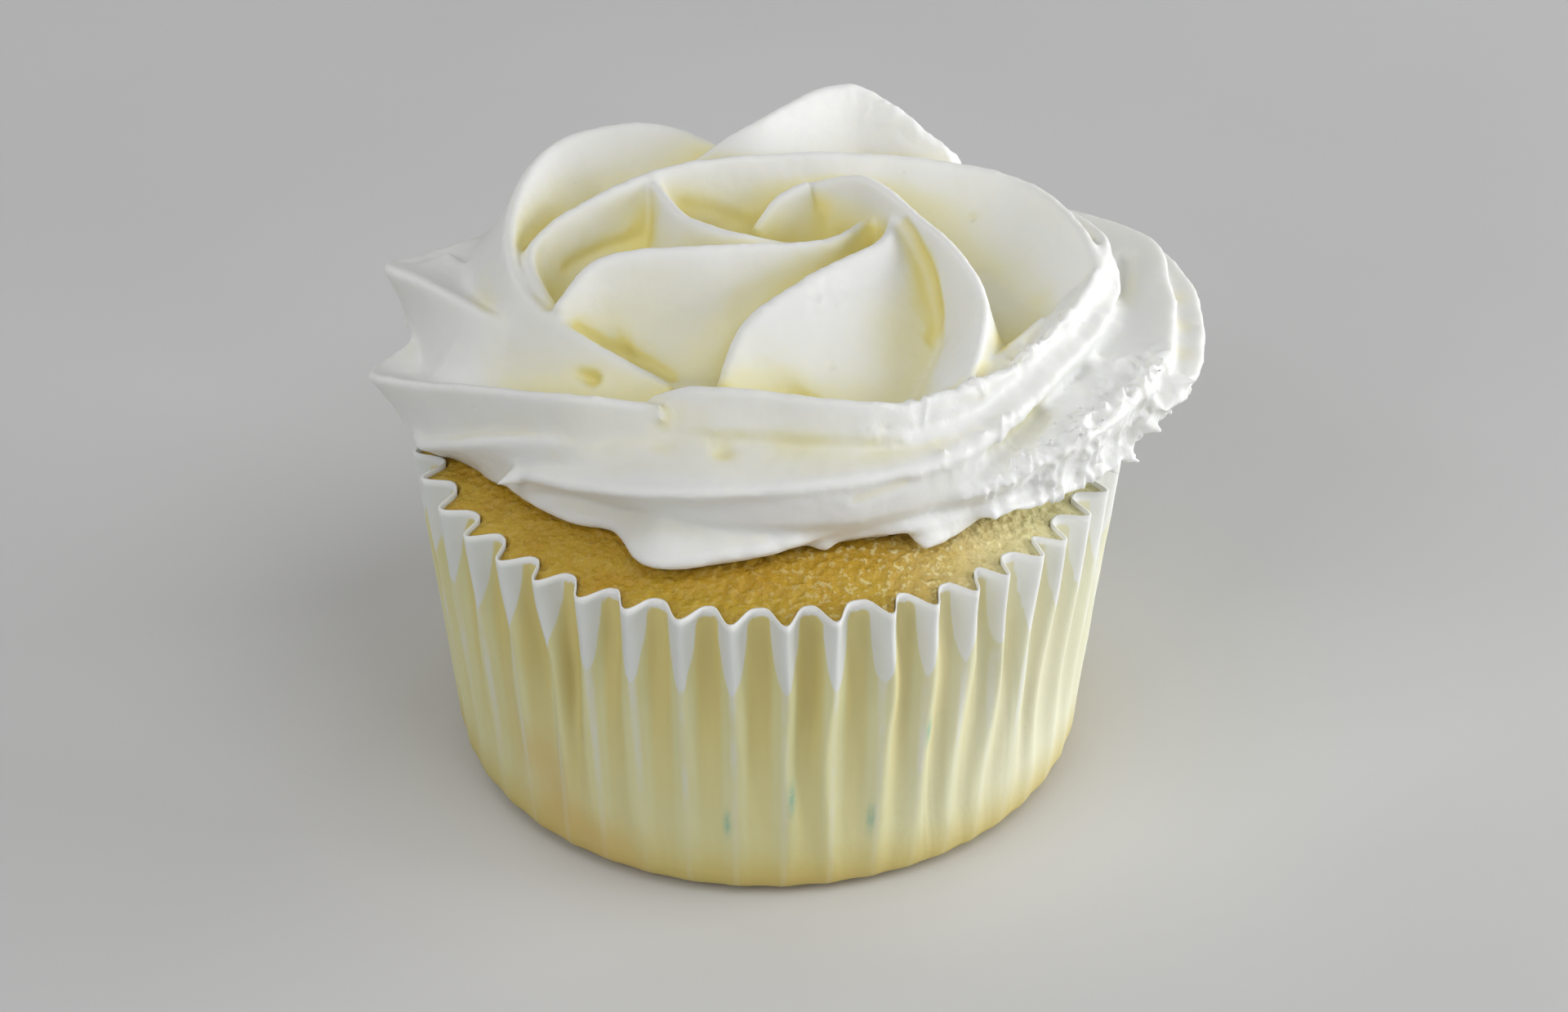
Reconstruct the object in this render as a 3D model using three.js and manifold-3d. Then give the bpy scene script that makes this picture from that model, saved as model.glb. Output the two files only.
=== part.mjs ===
// A vanilla cupcake: pleated paper case, cake and a piped frosting rosette.
// Units are millimetres, +Z is up, the origin is the middle of the base.
import * as THREE from 'three';
import { mergeVertices } from 'three/addons/utils/BufferGeometryUtils.js';
import Module from 'manifold-3d';

// Paper case
const caseHeight = 34.5;
const rimOuterRadius = 34.5;
const baseOuterRadius = 31;
const baseFlatRadius = 27.8;
const baseRoundHeight = 3;
const waistHeight = 18;
const baseTurnIn = 0.8;
const baseTurnHeight = 0.9;
const paperThickness = 0.45;
const pleatCount = 46;
const stepsPerPleat = 6;
const pleatDepthAtBase = 0.15;
const pleatDepthAtWaist = 1;
const pleatDepthAtRim = 2.6;
const pleatSharpness = 1.5;
const firstPleatAngle = 0.5;
// The pleats are not evenly spaced: amplitude in degrees, cycles round, phase.
const pleatDrift = [
  [2.4, 2, -121],
  [0.85, 3, 68],
  [0.8, 5, 77],
];

// Cake
const fitGap = 0.35;
const cakeEdgeHeight = 33.9;
const cakeCrown = [
  [0, 38.2],
  [14, 37.8],
  [23, 36.6],
  [28, 35.3],
  [30.6, 34.3],
];
const cakeStepsPerPleat = 2;
const foldFilling = 0.45;

// Frosting: a low core with the ridges of the piped coil on it
const frostingGap = 0.3;
const roomRadius = 60;
const roomBottom = -10;
const coreCentre = [1.5, 1.0];
const coreSteps = 36;
const coreProfile = [
  [0, 34],
  [22, 34],
  [25.5, 36.5],
  [28.2, 40.5],
  [28.5, 43.5],
  [26.5, 45.6],
  [20, 46],
  [12, 45.3],
  [6, 43.3],
  [0, 42.5],
];
const ridgeStepLength = 4;
const flankSteps = [0.26, 0.6, 1];
const rootTaper = 0.9;

// Each ridge of the coil runs counter-clockwise. `crest` holds a few stations
// along its edge: azimuth in degrees, radius, height. `lean` tips the ridge
// outwards from upright, in degrees. `outer` and `inner` are the widths of its
// two flanks, `depth` is how far they fall, `innerDepth` how far the inner one
// falls where that differs, `bow` is how hollow they are and `root` is how far
// the ridge goes on below its flanks, into the core.
const ridges = {
  petalFrontLeft: {
    crest: [
      [198, 21, 51.5], [186, 15.5, 54], [184, 5, 54.5], [24, 5.5, 53.5],
      [40, 12.5, 52.5],
    ],
    lean: [0],
    outer: [4, 8.5, 9.5, 5, 3],
    inner: [3],
    depth: [5, 8.5, 9, 8, 7],
    bow: [1.25, 2],
    root: 3,
  },
  petalFront: {
    crest: [
      [256, 18, 49.5], [260, 12, 53], [309, 7, 54.5], [2, 10.5, 54.5],
      [33, 14.5, 53],
    ],
    lean: [0],
    outer: [5, 12, 13, 12, 8],
    inner: [2, 2.5],
    depth: [4, 8, 8.5, 9, 9],
    bow: [1.05, 2],
    root: 3,
  },
  petalRight: {
    crest: [
      [318, 25, 49.5], [336, 22, 53], [350, 18.5, 55], [16, 15, 55],
      [51, 15, 55], [76, 14.5, 53],
    ],
    lean: [0],
    outer: [2, 3.5, 4, 5, 4],
    inner: [7, 4.5, 2.8, 3, 3],
    depth: [5, 8, 9, 8, 8],
    bow: [1.6, 0.8],
    root: 3,
  },
  petalBack: {
    crest: [
      [350, 30, 47.5], [7, 31.5, 51], [30, 29.5, 52.5], [53, 22, 54],
      [92, 17, 54.5], [131, 18.5, 54], [167, 23, 51.8], [192, 20.6, 50],
      [210, 17.5, 46.5],
    ],
    lean: [0],
    outer: [5],
    inner: [8, 10, 6.5, 3.5, 3],
    depth: [5, 8, 9, 9, 6],
    bow: [1.8, 1.15],
    root: 3,
  },
  petalCentreLeft: {
    crest: [
      [129, 18, 53.5], [139, 10.5, 53.5], [119, 3.5, 53.5], [57, 8.5, 50],
    ],
    lean: [0],
    outer: [1.2, 5, 7, 4],
    inner: [5],
    depth: [8, 7],
    bow: [1.3, 1.6],
    root: 3,
  },
  petalEye: {
    crest: [
      [73, 13.5, 54], [85, 10.5, 53.5], [100, 8, 51.5],
    ],
    lean: [0],
    outer: [3],
    inner: [5],
    depth: [8],
    bow: [1.6, 1.3],
    root: 3,
  },
  peakBack: {
    crest: [
      [46, 31, 45], [50, 30, 50], [54, 27.5, 53.8], [73, 26.9, 57.6],
      [95, 20.5, 56], [112, 21.5, 51.5],
    ],
    lean: [10],
    outer: [7, 8, 8, 7],
    inner: [4, 7, 7, 6],
    depth: [5, 11, 11, 8],
    bow: [1.6, 1.4],
    root: 3,
  },
  wallLeft: {
    crest: [
      [97, 23.5, 51], [114, 27.8, 53.3], [132, 29.8, 53.7],
      [151, 27.4, 53.6], [169, 25.3, 51.6], [189, 22.6, 50.5],
      [213, 19.5, 50], [239, 17, 47.5],
    ],
    lean: [12, 12, 5, 0],
    outer: [8, 8, 8, 5],
    inner: [7, 6.5, 3.5, 3],
    depth: [8, 9, 6.5, 4],
    bow: [1.4, 1.2],
    root: 3,
  },
  tipLeftUpper: {
    crest: [
      [95, 30, 40.5], [124, 33, 42.5], [143, 33.4, 44], [152, 35.2, 44.6],
      [159, 37.2, 45.2], [165, 38.8, 46], [171, 33.5, 46.8], [179, 29, 47.6],
      [188, 25.6, 48.2], [200, 21.5, 47],
    ],
    lean: [70, 60, 45, 40, 12, 0],
    outer: [4, 4, 3, 3.5, 8, 5],
    inner: [5, 5, 5, 5, 4, 2.5],
    depth: [7, 8, 7, 6, 5, 3],
    innerDepth: [4, 5, 5, 4.5, 3, 3],
    bow: [1.7, 1.5],
    root: 4,
  },
  fillLeft: {
    crest: [
      [146, 30, 46.5], [160, 30.5, 46.3], [172, 29, 46.5], [184, 26, 47],
    ],
    lean: [20],
    outer: [4],
    inner: [5],
    depth: [2, 2.4, 2],
    bow: [1.1, 1.1],
    root: 4,
  },
  tipLeftLower: {
    crest: [
      [120, 31, 36.5], [150, 35.5, 37.5], [171, 36, 39.5], [183, 38.4, 41.2],
      [192, 34.8, 43.4], [201, 31.2, 45.5], [210, 28.4, 47], [225, 26, 49],
      [235, 23.7, 49.1], [243, 22.4, 48.8], [250, 21, 47],
    ],
    lean: [80, 70, 55, 35, 30, 25, 20, 15],
    outer: [4, 4, 3, 3, 3, 4, 5, 5],
    inner: [5, 5, 4, 3, 3, 3, 2],
    depth: [7, 7, 6, 6, 6, 5, 4, 3],
    bow: [1.6, 2],
    root: 4,
  },
  foldLeft: {
    crest: [
      [168, 31, 36], [182, 33.8, 36], [192, 34.4, 36.4], [198, 32.7, 38.2],
      [205, 31.2, 40.5], [212, 29.4, 42.3], [221, 27.6, 44], [234, 25.4, 45],
    ],
    lean: [85, 80, 70, 55, 45, 40],
    outer: [2, 2, 3, 4, 4],
    inner: [5, 4, 4, 3],
    depth: [4, 4, 5, 4, 3],
    bow: [1.5, 1.5],
    root: 4,
  },
  brimFront: {
    crest: [
      [238, 21, 48.5], [248, 20.6, 50.4], [258, 20.6, 51], [272, 20.8, 50.9],
      [283, 22, 50.6], [301, 24.5, 50], [316, 26, 50], [331, 27.2, 50.2],
      [346, 28.6, 50.5], [358, 30.3, 50.6], [9, 32.8, 50.6],
      [18, 33.3, 50.4], [34, 31, 50],
    ],
    lean: [5],
    outer: [2.5, 2.4, 2, 1.5, 1.3, 1.2, 1.2],
    inner: [4, 4, 3],
    depth: [3, 3, 2.6, 2.8, 3, 3, 2.4],
    innerDepth: [4, 5, 5],
    bow: [1.3, 1.8],
    root: 3,
  },
  ringFront: {
    crest: [
      [204, 28, 37], [223, 29.4, 40.8], [248, 29.4, 44], [275, 27.8, 44.8],
      [295, 28.2, 45], [308, 29, 45.4], [322, 29.3, 46.8], [336, 30, 47.9],
      [352, 32, 48.1], [6, 33.9, 48], [24, 34.5, 48], [42, 30, 47.5],
    ],
    lean: [75, 70, 65, 60, 45, 35, 30, 30],
    outer: [2, 3, 5, 4, 2.4, 1.8, 1.6, 1.6],
    inner: [4, 6, 6, 5.5, 5, 3.4, 3.2],
    depth: [5, 6, 5, 4, 4.5, 4.5, 4.5],
    innerDepth: [5, 6, 4, 2.2, 1.3, 1.1, 1.1],
    bow: [1.4, 1.6],
    root: 4,
  },
  lipFront: {
    crest: [
      [205, 26.5, 36.2], [208.5, 28.2, 36.4], [215, 28.4, 36.5],
      [228, 27.6, 36.6], [235.6, 26.6, 36.8], [240, 27.3, 36.8],
      [244.7, 29.3, 36.8], [249.4, 30.2, 36.9], [255, 29.6, 37.2],
      [263.6, 28.5, 37.8], [272, 27.4, 38.3], [285, 26, 38.8],
      [300, 27.2, 39.8], [312, 30.2, 41.2], [322, 32.8, 43.2],
      [329, 34.8, 44.3], [342, 36.9, 44.8], [352, 38.5, 45.3],
      [1, 38.9, 45.9], [11, 39.6, 46], [24, 40.4, 46], [45, 34, 46],
    ],
    lean: [85, 83, 76, 66, 48, 30, 22],
    outer: [2.5, 2.5, 3, 3, 2.6, 2.2, 2.2, 2.2],
    inner: [5, 8, 9, 7, 5.5, 5, 5, 5],
    depth: [4, 5, 6, 6, 5.5, 5, 4, 3.6],
    innerDepth: [4, 5.5, 6, 6, 4.4, 3.4, 3.2, 3.2],
    bow: [1.5, 1.2],
    root: 4,
  },
  tabLeft: {
    crest: [
      [277, 23.2, 37.4], [278.5, 25, 36.9], [281, 25.8, 36.7],
      [284, 25.6, 36.7], [286, 23.6, 37.3],
    ],
    lean: [80],
    outer: [1, 1.2, 1],
    inner: [2.6],
    depth: [3.5],
    bow: [1.5, 1.5],
    root: 2,
  },
  tabRight: {
    crest: [
      [299.5, 24.8, 37.2], [299.6, 28.2, 36.6], [302, 28.9, 36.6],
      [306, 28.8, 36.7], [313, 28.6, 37],
    ],
    lean: [80],
    outer: [1, 1.2, 1],
    inner: [2.6],
    depth: [3.5],
    bow: [1.5, 1.5],
    root: 2,
  },
  skirtRight: {
    crest: [
      [273, 25, 37], [298, 27.6, 38], [310, 28.8, 37.8], [317, 30.8, 37.8],
      [326, 32.8, 37.9], [336, 34.9, 38.2], [342, 37.4, 40], [347, 39.8, 42],
      [355, 41.4, 43], [6, 42.4, 43], [17, 43.2, 43], [30, 42, 43],
      [55, 34, 44],
    ],
    lean: [85, 82, 78, 70, 55, 45, 45],
    outer: [2.4, 2, 2, 2.4, 3, 3.4],
    inner: [5, 5, 4.5, 3.6, 3.4, 3.6],
    depth: [6, 7, 7],
    innerDepth: [6, 6, 5, 3, 2.4, 2.6],
    bow: [1.6, 1.6],
    root: 5,
  },
  skirtBack: {
    crest: [
      [20, 33, 39.5], [45, 38.5, 40.5], [70, 39.5, 42.5], [95, 36, 45.5],
      [115, 30, 46.5],
    ],
    lean: [75, 60, 45],
    outer: [4],
    inner: [5],
    depth: [7],
    bow: [2, 2],
    root: 5,
  },
  hemBack: {
    crest: [
      [60, 31, 37.3], [85, 37.5, 38], [115, 38.5, 40.5], [145, 34.5, 44],
      [165, 29, 45],
    ],
    lean: [80, 65, 45],
    outer: [4],
    inner: [5],
    depth: [7],
    bow: [2, 2],
    root: 5,
  },
};

const degrees = Math.PI / 180;

const wasm = await Module();
wasm.setup();

// The value of a short list of numbers at fraction t of its length.
function along(values, t) {
  const place = Math.min(Math.max(t, 0), 1) * (values.length - 1);
  const first = Math.min(Math.floor(place), Math.max(values.length - 2, 0));
  const next = Math.min(first + 1, values.length - 1);
  return values[first] + (values[next] - values[first]) * (place - first);
}

function joined(geometry) {
  geometry.deleteAttribute('normal');
  geometry.deleteAttribute('uv');
  const merged = mergeVertices(geometry, 1e-4);
  const corners = merged.index.array;
  const kept = [];
  for (let i = 0; i < corners.length; i += 3) {
    const [a, b, c] = corners.slice(i, i + 3);
    if (a !== b && b !== c && c !== a) {
      kept.push(a, b, c);
    }
  }
  merged.setIndex(kept);
  return merged;
}

function toManifold(geometry) {
  return new wasm.Manifold(new wasm.Mesh({
    numProp: 3,
    vertProperties: new Float32Array(geometry.attributes.position.array),
    triVerts: new Uint32Array(geometry.index.array),
  }));
}

function toGeometry(body) {
  const mesh = body.getMesh();
  const geometry = new THREE.BufferGeometry();
  geometry.setAttribute('position', new THREE.BufferAttribute(mesh.vertProperties, 3));
  geometry.setIndex(new THREE.BufferAttribute(mesh.triVerts, 1));
  return geometry;
}

// A profile of [radius, height] turned about +Z. `shape` gives the azimuth in
// radians and the radius of each corner from its turn (0 to 1) and its row.
function turned(profile, steps, shape) {
  const points = profile.map(([radius, height]) => new THREE.Vector2(radius, height));
  const geometry = new THREE.LatheGeometry(points, steps);
  const position = geometry.attributes.position;
  for (let i = 0; i < position.count; i += 1) {
    const row = i % profile.length;
    const turn = (Math.floor(i / profile.length) % steps) / steps;
    const [azimuth, radius] = shape(turn, row);
    const height = profile[row][1];
    position.setXYZ(i, radius * Math.cos(azimuth), radius * Math.sin(azimuth), height);
  }
  return joined(geometry);
}

function pleatAzimuth(turn) {
  const even = firstPleatAngle + turn * 360;
  const drift = pleatDrift.reduce(
    (sum, [size, cycles, phase]) => sum + size * Math.sin((cycles * even + phase) * degrees),
    0,
  );
  return (even + drift) * degrees;
}

// 0 in an inner fold, 1 on an outer fold.
function pleatWave(turn) {
  const swing = 0.5 - 0.5 * Math.cos(2 * Math.PI * pleatCount * turn);
  return swing ** pleatSharpness;
}

function pleatDepth(height) {
  if (height < waistHeight) {
    const share = Math.max(height - baseRoundHeight, 0) / (waistHeight - baseRoundHeight);
    return pleatDepthAtBase + (pleatDepthAtWaist - pleatDepthAtBase) * share;
  }
  const share = (height - waistHeight) / (caseHeight - waistHeight);
  return pleatDepthAtWaist + (pleatDepthAtRim - pleatDepthAtWaist) * share;
}

function wallRadius(height) {
  const share = (height - baseRoundHeight) / (caseHeight - baseRoundHeight);
  return baseOuterRadius + (rimOuterRadius - baseOuterRadius) * share;
}

function makeCase() {
  const inner = (height) => wallRadius(height) - paperThickness;
  const profile = [
    [0, 0],
    [baseFlatRadius, 0],
    [baseOuterRadius - baseTurnIn, baseTurnHeight],
    [wallRadius(baseRoundHeight), baseRoundHeight],
    [wallRadius(waistHeight), waistHeight],
    [wallRadius(caseHeight), caseHeight],
    [inner(caseHeight), caseHeight],
    [inner(waistHeight), waistHeight],
    [inner(baseRoundHeight), baseRoundHeight + paperThickness],
    [baseFlatRadius, paperThickness],
    [0, paperThickness],
  ];
  const pleated = (turn, row) => {
    const [radius, height] = profile[row];
    const onWall = radius > baseFlatRadius;
    const fold = onWall ? pleatDepth(height) * (1 - pleatWave(turn)) : 0;
    return [pleatAzimuth(turn), radius - fold];
  };
  return turned(profile, pleatCount * stepsPerPleat, pleated);
}

function makeCake() {
  const inset = paperThickness + fitGap;
  const floor = [
    [0, inset],
    [baseFlatRadius - 1, inset],
  ];
  const wallHeights = [baseRoundHeight + inset, waistHeight, cakeEdgeHeight];
  const wall = wallHeights.map((height) => [wallRadius(height) - inset, height]);
  const profile = [...floor, ...wall, ...cakeCrown.slice().reverse()];
  const filled = (turn, row) => {
    const [radius, height] = profile[row];
    const onWall = wall.includes(profile[row]);
    const fold = onWall ? pleatDepth(height) * (1 - foldFilling * pleatWave(turn)) : 0;
    return [pleatAzimuth(turn), radius - fold];
  };
  return turned(profile, pleatCount * cakeStepsPerPleat, filled);
}

// The cross-section of a ridge at fraction t of its length, as [across, up]
// from the crest, from the inner root over the crest to the outer root.
function ridgeSection(ridge, t) {
  const outer = along(ridge.outer, t);
  const inner = along(ridge.inner, t);
  const outerDepth = along(ridge.depth, t);
  const innerDepth = along(ridge.innerDepth ?? ridge.depth, t);
  const bottom = -Math.max(outerDepth, innerDepth) - ridge.root;
  const [outerBow, innerBow] = ridge.bow;
  const flank = (width, depth, bow) => flankSteps.map(
    (share) => [width * share, -depth * (1 - (1 - share) ** bow)],
  );
  return [
    [-inner * rootTaper, bottom],
    ...flank(-inner, innerDepth, innerBow).reverse(),
    [0, 0],
    ...flank(outer, outerDepth, outerBow),
    [outer * rootTaper, bottom],
  ];
}

function makeRidge(ridge) {
  const stations = ridge.crest.map(([azimuth, radius, height]) => new THREE.Vector3(
    radius * Math.cos(azimuth * degrees),
    radius * Math.sin(azimuth * degrees),
    height,
  ));
  const crest = new THREE.CatmullRomCurve3(stations, false, 'catmullrom', 0.5);
  const steps = Math.max(3, Math.round(crest.getLength() / ridgeStepLength));
  const corners = ridgeSection(ridge, 0).length;
  const geometry = new THREE.CylinderGeometry(1, 1, 1, corners, steps);
  const position = geometry.attributes.position;
  const up = new THREE.Vector3(0, 0, 1);
  for (let i = 0; i < position.count; i += 1) {
    const t = position.getY(i) + 0.5;
    const turn = Math.atan2(position.getX(i), position.getZ(i)) / (2 * Math.PI);
    const onAxis = Math.hypot(position.getX(i), position.getZ(i)) < 0.5;
    const section = ridgeSection(ridge, t);
    const corner = section[(Math.round(turn * corners) + corners) % corners];
    const foot = section[0][1] / 2;
    const [across, rise] = onAxis ? [0, foot] : corner;

    const travel = crest.getTangent(t).setZ(0).normalize();
    const outwards = new THREE.Vector3(travel.y, -travel.x, 0);
    const lean = along(ridge.lean, t) * degrees;
    const upright = up.clone().multiplyScalar(Math.cos(lean));
    upright.addScaledVector(outwards, Math.sin(lean));
    const sideways = travel.clone().cross(upright).normalize();
    const point = crest.getPoint(t);
    point.addScaledVector(sideways, across).addScaledVector(upright, rise);
    position.setXYZ(i, point.x, point.y, point.z);
  }
  return toManifold(joined(geometry));
}

// All the room under the frosting: the cake and its case with a small gap.
function makeRoomBelow() {
  const crown = cakeCrown.map(([radius, height]) => [radius, height + frostingGap]);
  const profile = [
    [0, roomBottom],
    [roomRadius, roomBottom],
    [roomRadius, caseHeight + frostingGap],
    [rimOuterRadius + 1, caseHeight + frostingGap],
    [rimOuterRadius - 2, caseHeight + frostingGap],
    ...crown.slice().reverse(),
  ];
  const round = (turn, row) => [turn * 2 * Math.PI, profile[row][0]];
  return toManifold(turned(profile, coreSteps, round));
}

function makeFrosting() {
  const round = (turn, row) => [turn * 2 * Math.PI, coreProfile[row][0]];
  const core = turned(coreProfile, coreSteps, round);
  core.translate(coreCentre[0], coreCentre[1], 0);
  let body = toManifold(core);
  for (const ridge of Object.values(ridges)) {
    body = body.add(makeRidge(ridge));
  }
  const pieces = body.subtract(makeRoomBelow()).decompose();
  pieces.sort((one, other) => other.volume() - one.volume());
  return toGeometry(pieces[0]);
}

function named(name, geometry, color, roughness) {
  const material = new THREE.MeshStandardMaterial({ color, roughness, metalness: 0 });
  const mesh = new THREE.Mesh(geometry, material);
  mesh.name = name;
  return mesh;
}

const cupcake = new THREE.Group();
cupcake.name = 'cupcake';
cupcake.add(named('paper_case', makeCase(), '#e9e4b8', 0.7));
cupcake.add(named('cake', makeCake(), '#c9a24a', 0.9));
cupcake.add(named('frosting', makeFrosting(), '#efeee2', 0.5));

export default cupcake;
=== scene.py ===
# Cupcake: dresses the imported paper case, cake and frosting for a product shot.
import math
import random

import bmesh
import bpy
import numpy as np
from mathutils import Matrix, Vector, noise
from mathutils.bvhtree import BVHTree


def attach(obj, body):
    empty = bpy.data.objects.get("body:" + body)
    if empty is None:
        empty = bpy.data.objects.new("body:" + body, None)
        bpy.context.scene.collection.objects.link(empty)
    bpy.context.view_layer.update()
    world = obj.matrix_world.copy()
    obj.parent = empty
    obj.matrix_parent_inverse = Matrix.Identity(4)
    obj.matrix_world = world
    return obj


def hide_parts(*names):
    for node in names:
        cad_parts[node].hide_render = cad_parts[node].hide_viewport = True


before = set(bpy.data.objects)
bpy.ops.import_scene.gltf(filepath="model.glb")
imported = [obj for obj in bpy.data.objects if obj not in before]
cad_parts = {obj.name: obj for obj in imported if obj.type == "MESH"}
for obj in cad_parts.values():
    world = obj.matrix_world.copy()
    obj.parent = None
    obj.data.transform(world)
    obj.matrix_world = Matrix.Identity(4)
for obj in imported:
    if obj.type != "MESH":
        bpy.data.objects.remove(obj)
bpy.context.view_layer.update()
mm = 0.001


# values between the entries of a short list, t from 0 to 1
def along(values, t):
    place = min(max(t, 0.0), 1.0) * (len(values) - 1)
    first = min(int(place), max(len(values) - 2, 0))
    after = min(first + 1, len(values) - 1)
    return values[first] + (values[after] - values[first]) * (place - first)


def smoothStep(low, high, value):
    share = min(max((value - low) / (high - low), 0.0), 1.0)
    return share * share * (3 - 2 * share)


# the same for an array of values
def smoothSteps(low, high, values):
    share = np.clip((values - low) / (high - low), 0, 1)
    return share * share * (3 - 2 * share)


def fromPolar(degrees, radius, height):
    angle = math.radians(degrees)
    return Vector((radius * math.cos(angle), radius * math.sin(angle), height))


# a smooth curve through stations, as a list of points evenly spaced in parameter
def smoothCurve(stations, count):
    points = [2 * stations[0] - stations[1], *stations, 2 * stations[-1] - stations[-2]]
    spans = len(stations) - 1
    curve = []
    for step in range(count + 1):
        place = step / count * spans
        span = min(int(place), spans - 1)
        f = place - span
        a, b, c, d = points[span:span + 4]
        curve.append(0.5 * (2 * b + (c - a) * f + (2 * a - 5 * b + 4 * c - d) * f ** 2
                            + (3 * b - a - 3 * c + d) * f ** 3))
    return curve


# a smooth random value along a line, to both sides of zero
def wobble(place, scale, seed):
    return noise.noise(Vector((place * scale, seed * 7.31, seed * 1.7)))


# azimuths from 90 to 450 degrees, unbroken across the front and the right, and radii in mm
def polarPlaces(coords):
    azimuth = np.degrees(np.arctan2(coords[:, 1], coords[:, 0])) % 360
    turned = np.where(azimuth < 90, azimuth + 360, azimuth)
    return turned, np.hypot(coords[:, 0], coords[:, 1]) / mm


# fromPolar in metres, as an array
def spotAt(degrees, radius, height):
    return np.array(fromPolar(degrees, radius, height)) * mm


# 1 at a point, fading with distance over a size in mm
def nearPoint(coords, centre, size):
    away = np.linalg.norm(coords - centre, axis=1) / mm
    return np.exp(-(away / size) ** 2)


def addPiece(name, bm, material):
    mesh = bpy.data.meshes.new(name)
    bm.to_mesh(mesh)
    bm.free()
    for face in mesh.polygons:
        face.use_smooth = True
    piece = bpy.data.objects.new(name, mesh)
    bpy.context.scene.collection.objects.link(piece)
    mesh.materials.append(material)
    return piece


def finishPiece(piece, node):
    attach(piece, "root")
    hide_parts(node)


def bakeModifiers(piece):
    graph = bpy.context.evaluated_depsgraph_get()
    graph.update()
    mesh = bpy.data.meshes.new_from_object(piece.evaluated_get(graph))
    old = piece.data
    piece.modifiers.clear()
    piece.data = mesh
    bpy.data.meshes.remove(old)


def readCoords(mesh):
    coords = np.empty(len(mesh.vertices) * 3)
    mesh.vertices.foreach_get("co", coords)
    return coords.reshape(-1, 3)


def writeCoords(mesh, coords):
    mesh.vertices.foreach_set("co", coords.ravel())
    mesh.update()


def readNormals(mesh):
    normals = np.empty(len(mesh.vertices) * 3)
    mesh.vertices.foreach_get("normal", normals)
    return normals.reshape(-1, 3)


def storeValues(mesh, name, values):
    layer = mesh.attributes.new(name, "FLOAT", "POINT")
    layer.data.foreach_set("value", np.asarray(values, dtype=np.float32))


# averages every vertex with its neighbours a number of times
def relaxed(mesh, values, times):
    edges = np.empty(len(mesh.edges) * 2, dtype=np.int32)
    mesh.edges.foreach_get("vertices", edges)
    one, other = edges.reshape(-1, 2).T
    count = len(mesh.vertices)
    share = 1.0 / np.maximum(np.bincount(one, minlength=count) + np.bincount(other, minlength=count), 1)
    result = values.copy()
    for _ in range(times):
        for axis in range(result.shape[1]):
            column = result[:, axis]
            total = np.bincount(one, column[other], count) + np.bincount(other, column[one], count)
            result[:, axis] = 0.5 * column + 0.5 * total * share
    return result


class Shader:
    def __init__(self, name):
        self.material = bpy.data.materials.new(name)
        self.material.use_nodes = True
        self.tree = self.material.node_tree
        self.surface = self.tree.nodes["Principled BSDF"]
        self.place = self.tree.nodes.new("ShaderNodeTexCoord").outputs["Object"]

    def node(self, kind, settings=None, **inputs):
        made = self.tree.nodes.new("ShaderNode" + kind)
        for key, value in (settings or {}).items():
            setattr(made, key, value)
        for key, value in inputs.items():
            self.feed(made.inputs[key.replace("_", " ")], value)
        return made

    def feed(self, socket, value):
        if isinstance(value, bpy.types.NodeSocket):
            self.tree.links.new(value, socket)
        else:
            socket.default_value = value

    def math(self, operation, a, b=0.0, clamp=False):
        made = self.node("Math", {"operation": operation, "use_clamp": clamp})
        self.feed(made.inputs[0], a)
        self.feed(made.inputs[1], b)
        return made.outputs[0]

    def times(self, a, b, clamp=False):
        return self.math("MULTIPLY", a, b, clamp)

    # a noise as a small push to both sides of zero
    def sway(self, cloud, amount):
        return self.times(self.math("SUBTRACT", cloud, 0.5), amount)

    def axes(self):
        return self.node("SeparateXYZ", Vector=self.place).outputs

    def noise(self, scale, detail=3.0, rough=0.5):
        made = self.node("TexNoise", Vector=self.place, Scale=scale, Detail=detail, Roughness=rough)
        return made.outputs["Fac"]

    def ramp(self, value, low, high, toLow=0.0, toHigh=1.0):
        made = self.node("MapRange", {"interpolation_type": "SMOOTHSTEP"})
        for key, number in (("Value", value), ("From Min", low), ("From Max", high),
                            ("To Min", toLow), ("To Max", toHigh)):
            self.feed(made.inputs[key], number)
        return made.outputs["Result"]

    # a Mix node has its colours at inputs 6 and 7, and the mixed one at output 2
    def blend(self, share, a, b):
        made = self.node("Mix", {"data_type": "RGBA", "blend_type": "MIX"})
        self.feed(made.inputs[0], share)
        self.feed(made.inputs[6], (*a, 1) if isinstance(a, tuple) else a)
        self.feed(made.inputs[7], (*b, 1) if isinstance(b, tuple) else b)
        return made.outputs[2]

    def value(self, name):
        return self.node("Attribute", {"attribute_name": name}).outputs["Fac"]

    def bump(self, height, strength, distance, under=None):
        made = self.node("Bump", Height=height, Strength=strength, Distance=distance)
        if under:
            self.tree.links.new(under, made.inputs["Normal"])
        return made.outputs["Normal"]

    # scatter is its weight, how far each colour travels, and the depth in metres
    def finish(self, colour, roughness, normal, scatter):
        for name, value in (("Base Color", colour), ("Roughness", roughness), ("Normal", normal)):
            self.feed(self.surface.inputs[name], value)
        weight, travel, depth = scatter
        self.surface.inputs["Subsurface Weight"].default_value = weight
        self.surface.inputs["Subsurface Radius"].default_value = travel
        self.surface.inputs["Subsurface Scale"].default_value = depth
        return self.material


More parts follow.
